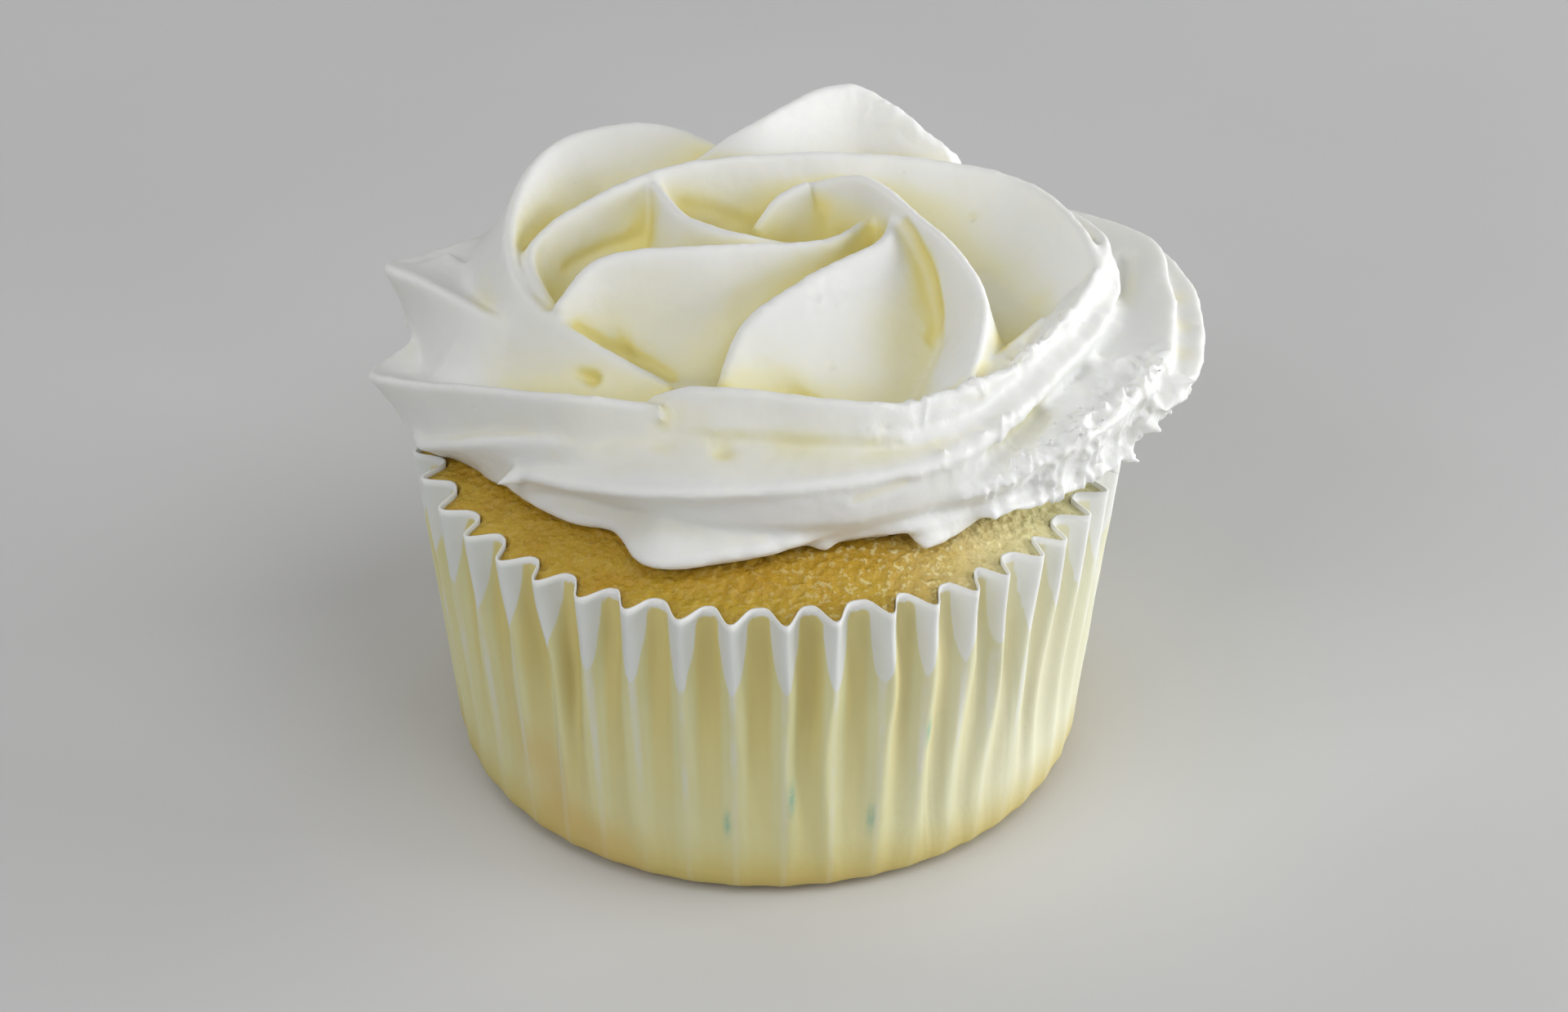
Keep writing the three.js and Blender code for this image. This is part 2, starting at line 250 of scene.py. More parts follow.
# in the looks, pairs are the ends of a ramp, fours a ramp and what it gives at its ends,
# a bump is its strength and distance, and a scale is how many patches go to the metre
def makeButtercream():
    look = {
        "white": (0.80, 0.805, 0.785),
        # painted light: whiter icing on the top of the rose
        "crest": (0.90, 0.905, 0.89),
        # cream: the icing's own cream tone and painted shade in its hollows; hollow: deeper painted shade
        "creamAndShade": (0.79, 0.77, 0.57),
        "hollow": (0.77, 0.69, 0.28),
        "creamRecess": (0.03, 0.22),
        "hollowRecess": (0.15, 0.44),
        "crestHeight": (0.0525, 0.0565),
        "crestRecess": (0.2, 0.05),
        # how strongly torn icing is painted whiter, as a painted highlight
        "tornHighlight": 0.8,
        "drift": 0.3,
        "driftScale": 70.0,
        "softScale": 260.0,
        "softBump": (0.12, 0.0006),
        "grainScale": 1500.0,
        "grainBump": (0.08, 0.0002),
        "ragScale": 900.0,
        "ragBump": (0.3, 0.0006),
        "roughness": (0.25, 0.75, 0.42, 0.6),
        "scatter": (0.18, (1.0, 0.85, 0.5), 0.0025),
    }
    s = Shader("buttercream")
    recess = s.value("recess")
    torn = s.value("torn")
    drift = s.sway(s.noise(look["driftScale"], 2.0), look["drift"])
    # painted shade: the icing turns cream and then yellow where it lies shut in, plus a random cream drift of
    # its own
    recessShade = s.math("ADD", s.ramp(recess, *look["creamRecess"]), drift, True)
    colour = s.blend(recessShade, look["white"], look["creamAndShade"])
    colour = s.blend(s.ramp(recess, *look["hollowRecess"]), colour, look["hollow"])
    # painted light: the top of the rose, where it is open, is painted whiter
    top = s.times(s.ramp(s.axes()["Z"], *look["crestHeight"]), s.ramp(recess, *look["crestRecess"]))
    colour = s.blend(top, colour, look["crest"])
    # painted highlight: torn icing is painted whiter
    colour = s.blend(s.times(torn, look["tornHighlight"], True), colour, look["crest"])
    soft = s.noise(look["softScale"], 3.0)
    ragStrength, ragDistance = look["ragBump"]
    normal = s.bump(soft, *look["softBump"])
    normal = s.bump(s.noise(look["grainScale"], 2.0), *look["grainBump"], normal)
    normal = s.bump(s.noise(look["ragScale"], 4.0, 0.65), s.times(torn, ragStrength), ragDistance, normal)
    return s.finish(colour, s.ramp(soft, *look["roughness"]), normal, look["scatter"])


def makeCrumb():
    look = {
        "gold": (0.52, 0.345, 0.03),
        # painted light: the crumb's colour on the lit right side
        "pale": (0.78, 0.74, 0.42),
        # toast: darker crumb, for random toasted patches and for painted shadow and shade in pores
        "toast": (0.47, 0.27, 0.012),
        # painted highlight colour on the grains
        "paintedGlint": (0.82, 0.74, 0.40),
        "patchScale": 240.0,
        "patchToast": (0.38, 0.72),
        # painted shadow of the frosting: radii over which the crown darkens toward the middle, and how much
        "middle": (0.0315, 0.0265),
        "middleShadow": 0.65,
        "litSide": (0.011, 0.033),
        "paleStray": 0.006,
        "grainScale": 1600.0,
        "grainGlint": (0.54, 0.64),
        "glintSide": (-0.008, 0.024, 0.1, 0.8),
        "grainBump": (0.7, 0.0005),
        "poreScale": 1200.0,
        "poreShadeRamp": (0.0, 0.35, 1.0, 0.0),
        "poreShade": 0.35,
        "poreBump": (0.5, 0.0005),
        "roughness": (0.3, 0.7, 0.4, 0.7),
        "scatter": (0.15, (1.0, 0.6, 0.2), 0.0015),
    }
    s = Shader("crumb")
    patches = s.noise(look["patchScale"], 4.0, 0.6)
    grains = s.noise(look["grainScale"], 2.5, 0.5)
    pores = s.node("TexVoronoi", {"feature": "SMOOTH_F1"}, Vector=s.place, Scale=look["poreScale"])
    pore = pores.outputs["Distance"]
    axes = s.axes()
    side = axes["X"]
    away = s.math("SQRT", s.math("ADD", s.math("POWER", side, 2.0), s.math("POWER", axes["Y"], 2.0)))
    colour = s.blend(s.ramp(patches, *look["patchToast"]), look["gold"], look["toast"])
    # painted shadow: the crown darkens toward the middle, under the frosting
    colour = s.blend(s.times(s.ramp(away, *look["middle"]), look["middleShadow"]), colour, look["toast"])
    # painted light: the crumb is paler toward the right, the lit side
    strayed = s.math("ADD", side, s.times(patches, look["paleStray"]))
    colour = s.blend(s.ramp(strayed, *look["litSide"]), colour, look["pale"])
    # painted highlights: bright glints on the grains, mostly on the right side
    paintedGlints = s.times(s.ramp(grains, *look["grainGlint"]), s.ramp(side, *look["glintSide"]))
    colour = s.blend(paintedGlints, colour, look["paintedGlint"])
    # painted shade: the crumb is darker in its pores
    colour = s.blend(s.times(s.ramp(pore, *look["poreShadeRamp"]), look["poreShade"]), colour, look["toast"])
    normal = s.bump(pore, *look["poreBump"])
    normal = s.bump(grains, *look["grainBump"], normal)
    return s.finish(colour, s.ramp(grains, *look["roughness"]), normal, look["scatter"])


# dry is white paper, oiled is where it clings to the cake; both are painted paler toward the lit right, and
# the inner folds get painted shade
def makePaper():
    look = {
        "dry": (0.74, 0.76, 0.72),
        # painted light on dry paper toward the lit right
        "dryLitRight": (0.90, 0.91, 0.86),
        "edge": (0.80, 0.81, 0.79),
        "oiled": (0.72, 0.70, 0.38),
        # painted light on oiled paper toward the lit right
        "oiledLitRight": (0.87, 0.87, 0.68),
        # painted shade in the inner folds, and random blotches of the paper's own
        "deepShadeAndBlotch": (0.69, 0.585, 0.22),
        "base": (0.60, 0.46, 0.10),
        "toast": (0.68, 0.47, 0.15),
        "ink": (0.20, 0.46, 0.36),
        "cloudScale": 120.0,
        "blotchScale": 45.0,
        "fibreScale": 1100.0,
        "contact": (0.05, -0.05),
        "contactStray": 0.12,
        "innerFoldShade": (0.62, 0.08),
        "innerRise": (0.1, 0.8, 0.22, 0.95),
        "cloudDeep": (0.42, 0.7, 0.0, 0.25),
        "litRightSide": (0.002, 0.034, 0.0, 0.8),
        "baseRise": (0.24, 0.01, 0.0, 0.85),
        "toastBlotch": (0.3, 0.6),
        "dryLitSide": (0.0, 0.028),
        "outerFold": (0.86, 0.99),
        "outerRise": (0.1, 0.6, 0.2, 1.0),
        "outerCloud": (0.35, 0.6, 0.1, 0.6),
        "edgeRise": (0.972, 0.992),
        "inkFibre": (0.15, 0.5),
        "fibreBump": (0.1, 0.0003),
        "cloudBump": (0.25, 0.0010),
        "roughness": (0.3, 0.7, 0.45, 0.62),
        "scatter": (0.15, (1.0, 0.95, 0.6), 0.0015),
    }
    s = Shader("bakingPaper")
    fold = s.value("fold")
    height = s.value("height")
    cloud = s.noise(look["cloudScale"], 4.0, 0.6)
    blotch = s.noise(look["blotchScale"], 2.0)
    fibre = s.noise(look["fibreScale"], 4.0, 0.6)
    side = s.axes()["X"]
    strayed = s.math("ADD", s.value("dry"), s.sway(cloud, look["contactStray"]))
    contact = s.ramp(strayed, *look["contact"])
    # painted shade: the upper inner folds turn deep gold
    inner = s.times(s.ramp(fold, *look["innerFoldShade"]), s.ramp(height, *look["innerRise"]))
    oiled = s.blend(inner, look["oiled"], look["deepShadeAndBlotch"])
    oiled = s.blend(s.ramp(cloud, *look["cloudDeep"]), oiled, look["deepShadeAndBlotch"])
    # painted light: oiled paper turns paler toward the right, the lit side
    oiled = s.blend(s.ramp(side, *look["litRightSide"]), oiled, look["oiledLitRight"])
    oiled = s.blend(s.ramp(height, *look["baseRise"]), oiled, look["base"])
    oiled = s.blend(s.times(s.value("stain"), s.ramp(blotch, *look["toastBlotch"])), oiled, look["toast"])
    # painted light: dry paper is whiter toward the right, the lit side
    dry = s.blend(s.ramp(side, *look["dryLitSide"]), look["dry"], look["dryLitRight"])
    # a pale line along the upper outer folds: drier paper at the fold and a painted highlight
    outer = s.times(s.ramp(fold, *look["outerFold"]), s.ramp(height, *look["outerRise"]))
    oiled = s.blend(s.times(outer, s.ramp(cloud, *look["outerCloud"])), oiled, dry)
    colour = s.blend(contact, dry, oiled)
    colour = s.blend(s.ramp(height, *look["edgeRise"]), colour, look["edge"])
    colour = s.blend(s.times(s.value("ink"), s.ramp(fibre, *look["inkFibre"])), colour, look["ink"])
    normal = s.bump(fibre, *look["fibreBump"])
    normal = s.bump(cloud, *look["cloudBump"], normal)
    return s.finish(colour, s.ramp(cloud, *look["roughness"]), normal, look["scatter"])


# frosting: crest stations are azimuth in degrees, radius and height in mm, and the other
# lists run along the crest. lean is how far the ridge leans outwards in degrees, outer and
# inner are the widths of its flanks, depth and innerDepth how far they fall, bow how hollow
# they are, root how far the ridge goes on below them, and ragged how torn its crest is.
ridges = {
    "petalFrontLeft": dict(
        crest=[(198, 21, 51.5), (186, 15.5, 54), (184, 5, 54.5), (24, 5.5, 53.5), (40, 12.5, 52.5)],
        lean=[0], outer=[4, 8.5, 9.5, 5, 3], inner=[3], depth=[5, 8.5, 9, 8, 7], bow=(1.25, 2), root=3),
    "petalFront": dict(
        crest=[(256, 18, 49.5), (260, 12, 53), (309, 7, 54.5), (2, 10.5, 54.5), (33, 14.5, 53)],
        lean=[0], outer=[5, 12, 13, 12, 8], inner=[2, 2.5], depth=[4, 8, 8.5, 9, 9], bow=(1.05, 2), root=3),
    "petalRight": dict(
        crest=[(318, 25, 49.5), (336, 22, 53), (350, 18.5, 55), (16, 15, 55), (51, 15, 55), (76, 14.5, 53)],
        lean=[0], outer=[2, 3.5, 4, 5, 4], inner=[7, 4.5, 2.8, 3, 3], depth=[5, 8, 9, 8, 8],
        bow=(1.6, 0.8), root=3),
    "petalBack": dict(
        crest=[(350, 30, 47.5), (7, 31.5, 51), (30, 29.5, 52.5), (53, 22, 54), (92, 17, 54.5),
               (131, 18.5, 54), (167, 23, 51.8), (192, 20.6, 50), (210, 17.5, 46.5)],
        lean=[0], outer=[5], inner=[8, 10, 6.5, 3.5, 3], depth=[5, 8, 9, 9, 6], bow=(1.8, 1.15), root=3),
    "petalCentreLeft": dict(
        crest=[(129, 18, 53.5), (139, 10.5, 53.5), (119, 3.5, 53.5), (57, 8.5, 50)],
        lean=[0], outer=[1.2, 5, 7, 4], inner=[5], depth=[8, 7], bow=(1.3, 1.6), root=3),
    "petalEye": dict(
        crest=[(73, 13.5, 54), (85, 10.5, 53.5), (100, 8, 51.5)],
        lean=[0], outer=[3], inner=[5], depth=[8], bow=(1.6, 1.3), root=3),
    "peakBack": dict(
        crest=[(46, 31, 45), (50, 30, 50), (54, 27.5, 53.8), (73, 26.9, 57.6), (95, 20.5, 56),
               (112, 21.5, 51.5)],
        lean=[10], outer=[7, 8, 8, 7], inner=[4, 7, 7, 6], depth=[5, 11, 11, 8], bow=(1.6, 1.4), root=3,
        ragged=[0.35, 0.5, 0.15, 0]),
    "wallLeft": dict(
        crest=[(97, 23.5, 51), (114, 27.8, 53.3), (132, 29.8, 53.7), (151, 27.4, 53.6),
               (169, 25.3, 51.6), (189, 22.6, 50.5), (213, 19.5, 50), (239, 17, 47.5)],
        lean=[12, 12, 5, 0], outer=[8, 8, 8, 5], inner=[7, 6.5, 3.5, 3], depth=[8, 9, 6.5, 4],
        bow=(1.4, 1.2), root=3, ragged=[0, 0, 0, 0.15]),
    "tipLeftUpper": dict(
        crest=[(95, 30, 40.5), (124, 33, 42.5), (143, 33.4, 44), (152, 35.2, 44.6), (159, 37.2, 45.2),
               (165, 38.8, 46), (171, 33.5, 46.8), (179, 29, 47.6), (188, 25.6, 48.2), (200, 21.5, 47)],
        lean=[70, 60, 45, 40, 12, 0], outer=[4, 4, 3, 3.5, 8, 5], inner=[5, 5, 5, 5, 4, 2.5],
        depth=[7, 8, 7, 6, 5, 3], innerDepth=[4, 5, 5, 4.5, 3, 3], bow=(1.7, 1.5), root=4,
        ragged=[0, 0, 0, 0.1, 0.2]),
    "fillLeft": dict(
        crest=[(146, 30, 46.5), (160, 30.5, 46.3), (172, 29, 46.5), (184, 26, 47)],
        lean=[20], outer=[4], inner=[5], depth=[2, 2.4, 2], bow=(1.1, 1.1), root=4),
    "tipLeftLower": dict(
        crest=[(120, 31, 36.5), (150, 35.5, 37.5), (171, 36, 39.5), (183, 38.4, 41.2), (192, 34.8, 43.4),
               (201, 31.2, 45.5), (210, 28.4, 47), (225, 26, 49), (235, 23.7, 49.1), (243, 22.4, 48.8),
               (250, 21, 47)],
        lean=[80, 70, 55, 35, 30, 25, 20, 15], outer=[4, 4, 3, 3, 3, 4, 5, 5], inner=[5, 5, 4, 3, 3, 3, 2],
        depth=[7, 7, 6, 6, 6, 5, 4, 3], bow=(1.6, 2), root=4, ragged=[0, 0, 0, 0.1, 0.15]),
    "foldLeft": dict(
        crest=[(168, 31, 36), (182, 33.8, 36), (192, 34.4, 36.4), (198, 32.7, 38.2), (205, 31.2, 40.5),
               (212, 29.4, 42.3), (221, 27.6, 44), (234, 25.4, 45)],
        lean=[85, 80, 70, 55, 45, 40], outer=[2, 2, 3, 4, 4], inner=[5, 4, 4, 3], depth=[4, 4, 5, 4, 3],
        bow=(1.5, 1.5), root=4),
    "brimFront": dict(
        crest=[(238, 21, 48.5), (248, 20.6, 50.4), (258, 20.6, 51), (272, 20.8, 50.9), (283, 22, 50.6),
               (301, 24.5, 50), (316, 26, 50), (331, 27.2, 50.2), (346, 28.6, 50.5), (358, 30.3, 50.6),
               (9, 32.8, 50.6), (18, 33.3, 50.4), (34, 31, 50)],
        lean=[5], outer=[2.5, 2.4, 2, 1.5, 1.3, 1.2, 1.2], inner=[4, 4, 3], depth=[3, 3, 2.6, 2.8, 3, 3, 2.4],
        innerDepth=[4, 5, 5], bow=(1.3, 1.8), root=3, ragged=[0.1, 0.2, 0.25, 0.4, 0.4, 0.2]),
    "ringFront": dict(
        crest=[(204, 28, 37), (223, 29.4, 40.8), (248, 29.4, 44), (275, 27.8, 44.8), (295, 28.2, 45),
               (308, 29, 45.4), (322, 29.3, 46.8), (336, 30, 47.9), (352, 32, 48.1), (6, 33.9, 48),
               (24, 34.5, 48), (42, 30, 47.5)],
        lean=[75, 70, 65, 60, 45, 35, 30, 30], outer=[2, 3, 5, 4, 2.4, 1.8, 1.6, 1.6],
        inner=[4, 6, 6, 5.5, 5, 3.4, 3.2], depth=[5, 6, 5, 4, 4.5, 4.5, 4.5],
        innerDepth=[5, 6, 4, 2.2, 1.3, 1.1, 1.1], bow=(1.4, 1.6), root=4,
        ragged=[0, 0, 0.1, 0.4, 0.5, 0.1, 0.05]),
    "lipFront": dict(
        crest=[(205, 26.5, 36.2), (208.5, 28.2, 36.4), (215, 28.4, 36.5), (228, 27.6, 36.6),
               (235.6, 26.6, 36.8), (240, 27.3, 36.8), (244.7, 29.3, 36.8), (249.4, 30.2, 36.9),
               (255, 29.6, 37.2), (263.6, 28.5, 37.8), (272, 27.4, 38.3), (285, 26, 38.8),
               (300, 27.2, 39.8), (312, 30.2, 41.2), (322, 32.8, 43.2), (329, 34.8, 44.3),
               (342, 36.9, 44.8), (352, 38.5, 45.3), (1, 38.9, 45.9), (11, 39.6, 46), (24, 40.4, 46),
               (45, 34, 46)],
        lean=[85, 83, 76, 66, 48, 30, 22], outer=[2.5, 2.5, 3, 3, 2.6, 2.2, 2.2, 2.2],
        inner=[5, 8, 9, 7, 5.5, 5, 5, 5], depth=[4, 5, 6, 6, 5.5, 5, 4, 3.6],
        innerDepth=[4, 5.5, 6, 6, 4.4, 3.4, 3.2, 3.2], bow=(1.5, 1.2), root=4,
        ragged=[0, 0, 0, 0.2, 0.8, 0.9, 0.3, 0]),
    "tabLeft": dict(
        crest=[(277, 23.2, 37.4), (278.5, 25, 36.9), (281, 25.8, 36.7), (284, 25.6, 36.7), (286, 23.6, 37.3)],
        lean=[80], outer=[1, 1.2, 1], inner=[2.6], depth=[3.5], bow=(1.5, 1.5), root=2),
    "tabRight": dict(
        crest=[(299.5, 24.8, 37.2), (299.6, 28.2, 36.6), (302, 28.9, 36.6), (306, 28.8, 36.7),
               (313, 28.6, 37)],
        lean=[80], outer=[1, 1.2, 1], inner=[2.6], depth=[3.5], bow=(1.5, 1.5), root=2),
    "skirtRight": dict(
        crest=[(273, 25, 37), (298, 27.6, 38), (310, 28.8, 37.8), (317, 30.8, 37.8), (326, 32.8, 37.9),
               (336, 34.9, 38.2), (342, 37.4, 40), (347, 39.8, 42), (355, 41.4, 43), (6, 42.4, 43),
               (17, 43.2, 43), (30, 42, 43), (55, 34, 44)],
        lean=[85, 82, 78, 70, 55, 45, 45], outer=[2.4, 2, 2, 2.4, 3, 3.4], inner=[5, 5, 4.5, 3.6, 3.4, 3.6],
        depth=[6, 7, 7], innerDepth=[6, 6, 5, 3, 2.4, 2.6], bow=(1.6, 1.6), root=5,
        ragged=[0.2, 0.4, 0.6, 0.9, 0.5, 0.1, 0]),
    "skirtBack": dict(
        crest=[(20, 33, 39.5), (45, 38.5, 40.5), (70, 39.5, 42.5), (95, 36, 45.5), (115, 30, 46.5)],
        lean=[75, 60, 45], outer=[4], inner=[5], depth=[7], bow=(2, 2), root=5, ragged=[0.2]),
    "hemBack": dict(
        crest=[(60, 31, 37.3), (85, 37.5, 38), (115, 38.5, 40.5), (145, 34.5, 44), (165, 29, 45)],
        lean=[80, 65, 45], outer=[4], inner=[5], depth=[7], bow=(2, 2), root=5, ragged=[0.2]),
}
coreShape = {
    "centre": (1.5, 1.0),
    "profile": [(0, 34), (22, 34), (25.5, 36.5), (28.2, 40.5), (28.5, 43.5), (26.5, 45.6),
                (20, 46), (12, 45.3), (6, 43.3), (0, 42.5)],
    "steps": 96,
    "weld": 0.01,
}
frostingDetail = {
    "stationLength": 0.8,
    "fewestStations": 8,
    "flankSteps": 9,
    "rootTaper": 0.9,
    "crestWidth": 0.42,
    "crestDrop": 0.08,
    "tearUp": ((0.9, 0.45), (0.6, 1.3)),
    "tearOut": ((0.7, 0.35), (0.5, 1.1)),
    "voxel": 0.28,
    "smoothing": 11,
    "smoothingTorn": 3,
    "triangles": 190000,
}


# [across, up] from the crest, inner root over the crest to the outer root
def ridgeSection(ridge, t):
    outer, inner, depth = (along(ridge[key], t) for key in ("outer", "inner", "depth"))
    innerDepth = along(ridge.get("innerDepth", ridge["depth"]), t)
    steps = frostingDetail["flankSteps"]
    half = frostingDetail["crestWidth"]
    taper = frostingDetail["rootTaper"]
    drop = frostingDetail["crestDrop"]
    bottom = -max(depth, innerDepth) - ridge["root"]

    def flank(width, fall, bow):
        side = math.copysign(half, width)
        return [(side + (width - side) * k / steps, -fall * (1 - (1 - k / steps) ** bow) - drop)
                for k in range(steps + 1)]

    return [(-inner * taper, bottom), *reversed(flank(-inner, innerDepth, ridge["bow"][1])), (0, 0),
            *flank(outer, depth, ridge["bow"][0]), (outer * taper, bottom)]


# a large slow wobble with a small quick one on top
def doubleWobble(run, waves, seed):
    (large, slow), (small, quick) = waves
    return large * wobble(run, slow, seed) + small * wobble(run, quick, seed + 1)


def buildRidge(ridge, seed):
    stations = [fromPolar(*place) for place in ridge["crest"]]
    length = sum((b - a).length for a, b in zip(stations, stations[1:]))
    count = max(frostingDetail["fewestStations"], round(length / frostingDetail["stationLength"]))
    crest = smoothCurve(stations, count)
    ragged = ridge.get("ragged", [0])
    bm = bmesh.new()
    corners = len(ridgeSection(ridge, 0))
    bmesh.ops.create_circle(bm, cap_ends=True, segments=corners, radius=1)
    bm.faces.ensure_lookup_table()
    face = bm.faces[0]
    for step, point in enumerate(crest):
        t = step / count
        travel = crest[min(step + 1, count)] - crest[max(step - 1, 0)]
        travel.z = 0
        travel.normalize()
        lean = math.radians(along(ridge["lean"], t))
        outwards = Vector((travel.y, -travel.x, 0))
        upright = Vector((0, 0, math.cos(lean))) + outwards * math.sin(lean)
        sideways = travel.cross(upright).normalized()
        tear = along(ragged, t)
        tearUp = tear * doubleWobble(length * t, frostingDetail["tearUp"], seed)
        tearOut = tear * doubleWobble(length * t, frostingDetail["tearOut"], seed + 2)
        if step:
            grown = bmesh.ops.extrude_face_region(bm, geom=[face])
            face = [part for part in grown["geom"] if isinstance(part, bmesh.types.BMFace)][0]
        depth = along(ridge["depth"], t)
        for vert, (across, rise) in zip(face.verts, ridgeSection(ridge, t)):
            nearCrest = max(0.0, 1 + rise / depth) ** 2
            vert.co = (point + sideways * (across + tearOut * nearCrest)
                       + upright * (rise + tearUp * nearCrest))
    bmesh.ops.recalc_face_normals(bm, faces=bm.faces)
    bmesh.ops.triangulate(bm, faces=[f for f in bm.faces if len(f.verts) > 4])
    return bm


def buildCore():
    bm = bmesh.new()
    shiftX, shiftY = coreShape["centre"]
    last = None
    for radius, height in coreShape["profile"]:
        vert = bmesh.ops.create_vert(bm, co=(radius, 0, height))["vert"][0]
        if last:
            bm.edges.new((last, vert))
        last = vert
    bmesh.ops.spin(bm, geom=bm.verts[:] + bm.edges[:], axis=(0, 0, 1), cent=(0, 0, 0),
                   angle=math.tau, steps=coreShape["steps"], use_merge=True)
    bmesh.ops.remove_doubles(bm, verts=bm.verts, dist=coreShape["weld"])
    bmesh.ops.recalc_face_normals(bm, faces=bm.faces)
    bmesh.ops.translate(bm, verts=bm.verts, vec=(shiftX, shiftY, 0))
    return bm


def buildFrosting():
    whole = bmesh.new()
    parts = [buildCore()]
    for seed, ridge in enumerate(ridges.values()):
        parts.append(buildRidge(ridge, seed))
    for part in parts:
        mesh = bpy.data.meshes.new("part")
        part.to_mesh(mesh)
        part.free()
        whole.from_mesh(mesh)
        bpy.data.meshes.remove(mesh)
    bmesh.ops.scale(whole, verts=whole.verts, vec=(mm, mm, mm))
    return addPiece("frostingSwirl", whole, makeButtercream())


frosting = buildFrosting()
print("frosting parts", len(frosting.data.polygons))


cakeShape = {
    "crown": [(0, 38.2), (14, 37.8), (23, 36.6), (28, 35.3), (30.6, 34.3)],
    "crownSunk": 0.12,
    "floor": (26.8, 0.8),
    "sideFrom": 3.8,
    "sideTo": 34.0,
    "sideSteps": 15,
    "paperGap": 0.2,
    "edgeOut": 0.35,
    "crumbRings": 44,
    "ringStep": 0.25,
    "middleRings": 8,
    "crumbScale": 1.3,
    "crumbNoise": (0.7, 2.0, 4),
    "lumpScale": 0.35,
    "lumps": 0.5,
    "crumbDepth": 0.26,
    "crumbLimits": (-0.5, 0.1),
    "crumbFrom": (2, 18),
}
# depths are how deep the pleats are at the base, the waist and the rim; drift is how
# their spacing strays, as a size in degrees, the cycles in a full turn and a phase
caseShape = {
    "height": 34.5,
    "rimRadius": 34.5,
    "baseRadius": 31.0,
    "flatRadius": 27.8,
    "floorRings": (14, 24),
    "footOutside": [(29.3, 0.35), (30.3, 1.05), (30.8, 1.9)],
    "footInside": [(30.8, 2.1), (30.2, 1.35), (29.2, 0.7)],
    "roundHeight": 3.0,
    "waist": 18.0,
    "wallSteps": 32,
    "wallCrowding": 0.9,
    "paper": 0.28,
    "depths": (0.15, 1.0, 2.6),
    "pleats": 46,
    "stepsPerPleat": 16,
    "firstPleat": 0.5,
    "drift": [(2.4, 2, -121), (0.85, 3, 68), (0.8, 5, 77)],
    "weld": 0.0005,
}
# where the frosting leaves the cake's crown for the rim, and how clear it hangs
overhang = {"crownTo": 29.5, "rimFrom": 32.0, "clear": 0.15}


def crownHeight(radius):
    radii, heights = zip(*cakeShape["crown"])
    return np.interp(radius, radii, heights)


# lifts whatever lies in the cake or the rim onto them
def restOnCake(coords):
    radius = np.hypot(coords[:, 0], coords[:, 1]) / mm
    overRim = smoothSteps(overhang["crownTo"], overhang["rimFrom"], radius)
    floorHeight = (1 - overRim) * crownHeight(radius) + overRim * caseShape["height"] + overhang["clear"]
    coords[:, 2] = np.maximum(coords[:, 2], floorHeight * mm)


# small marks of the front side, in degrees and mm: pits are azimuth, radius,
# height, size and depth; spots of painted shade the same with an amount, below 0 for lighter icing;
# spikes are where they stand, their length, where they point and how much upwards;
# the plug fills a gap between two ridges, rough spots are places with a size and how
# torn they are, and no icing goes past rightmost in x
frostingMarks = {
    "pits": [(215.4, 21.6, 47.6, 0.6, 0.4), (217.2, 21.2, 47.5, 0.6, 0.6), (219.0, 20.9, 47.5, 0.6, 0.9),
             (260.0, 23.8, 46.2, 0.8, 0.5), (330, 27.4, 49.8, 0.8, 0.9),
             (345.5, 38.3, 41.7, 1.1, 0.8), (341.5, 36.8, 40.0, 1.2, 0.8)],
    "shadeSpots": [(345, 18.3, 53.4, 3.5, -0.3), (335, 19.4, 50.2, 3.5, -0.3), (324, 21.1, 49.2, 3.0, -0.2),
              (330, 14.9, 49.6, 4.0, 0.1), (321, 15.5, 48.6, 4.0, 0.06), (190, 11.4, 50.5, 5.0, 0.08),
              (347, 15.4, 50.2, 2.4, 0.07), (34, 22, 51.5, 3.0, 0.07), (17, 22, 50.5, 3.0, 0.06),
              (5, 21.5, 49.5, 3.0, 0.05), (14, 25.3, 51.0, 4.0, 0.03), (145, 14.1, 52.5, 1.6, -0.1),
              (219.2, 20.9, 47.5, 0.6, 0.14), (216, 21.5, 47.6, 0.6, 0.04), (260, 23.8, 46.2, 0.8, 0.08),
              (249, 21.8, 48.6, 1.0, 0.05), (254, 22.2, 48.4, 1.0, 0.05), (273.6, 23, 46.7, 1.4, 0.06),
              (279, 23.4, 47.1, 1.4, 0.06), (357, 39.6, 43.4, 1.5, 0.12), (4, 40, 43.4, 1.5, 0.12),
              (12, 40.6, 43.4, 1.5, 0.1), (67, 13, 51.4, 1.1, 0.2), (72, 22, 54.6, 6.0, -0.2),
              (55, 26, 53.6, 4.0, -0.15)],
    "spikes": [(350, 39.6, 43.2, 2.4, 345, 0.2), (345.5, 38.4, 42.0, 1.6, 335, -0.2),
               (343.5, 37.6, 40.8, 1.5, 345, -0.5), (341.5, 36.4, 39.4, 1.6, 350, 0.5),
               (340.5, 35.8, 38.2, 1.7, 345, -0.4), (337.5, 34.6, 37.4, 1.5, 335, -0.2),
               (215.5, 29.7, 39.0, 1.8, 200, -0.3), (243.7, 22.4, 48.6, 1.5, 250, 1.6),
               (244.6, 22.7, 47.9, 1.1, 260, 0.4)],
    "plug": (348.5, 31.0, 44.1, 1.6),
    "bubbles": 60,
    "bubbleSeed": 8,
    "bubbleDepths": (0.12, 0.3),
    "bubbleSizes": (0.25, 0.45),
    "rightmost": 42.1,
    "roughSpots": [(66, 26.4, 55.8, 2.6, 0.7), (57, 26.5, 54.1, 2.4, 0.7), (50, 27.2, 52.5, 2.4, 0.6),
                   (305, 10, 52.5, 3.4, 0.35), (320, 9.6, 53.0, 3.0, 0.3)],
}
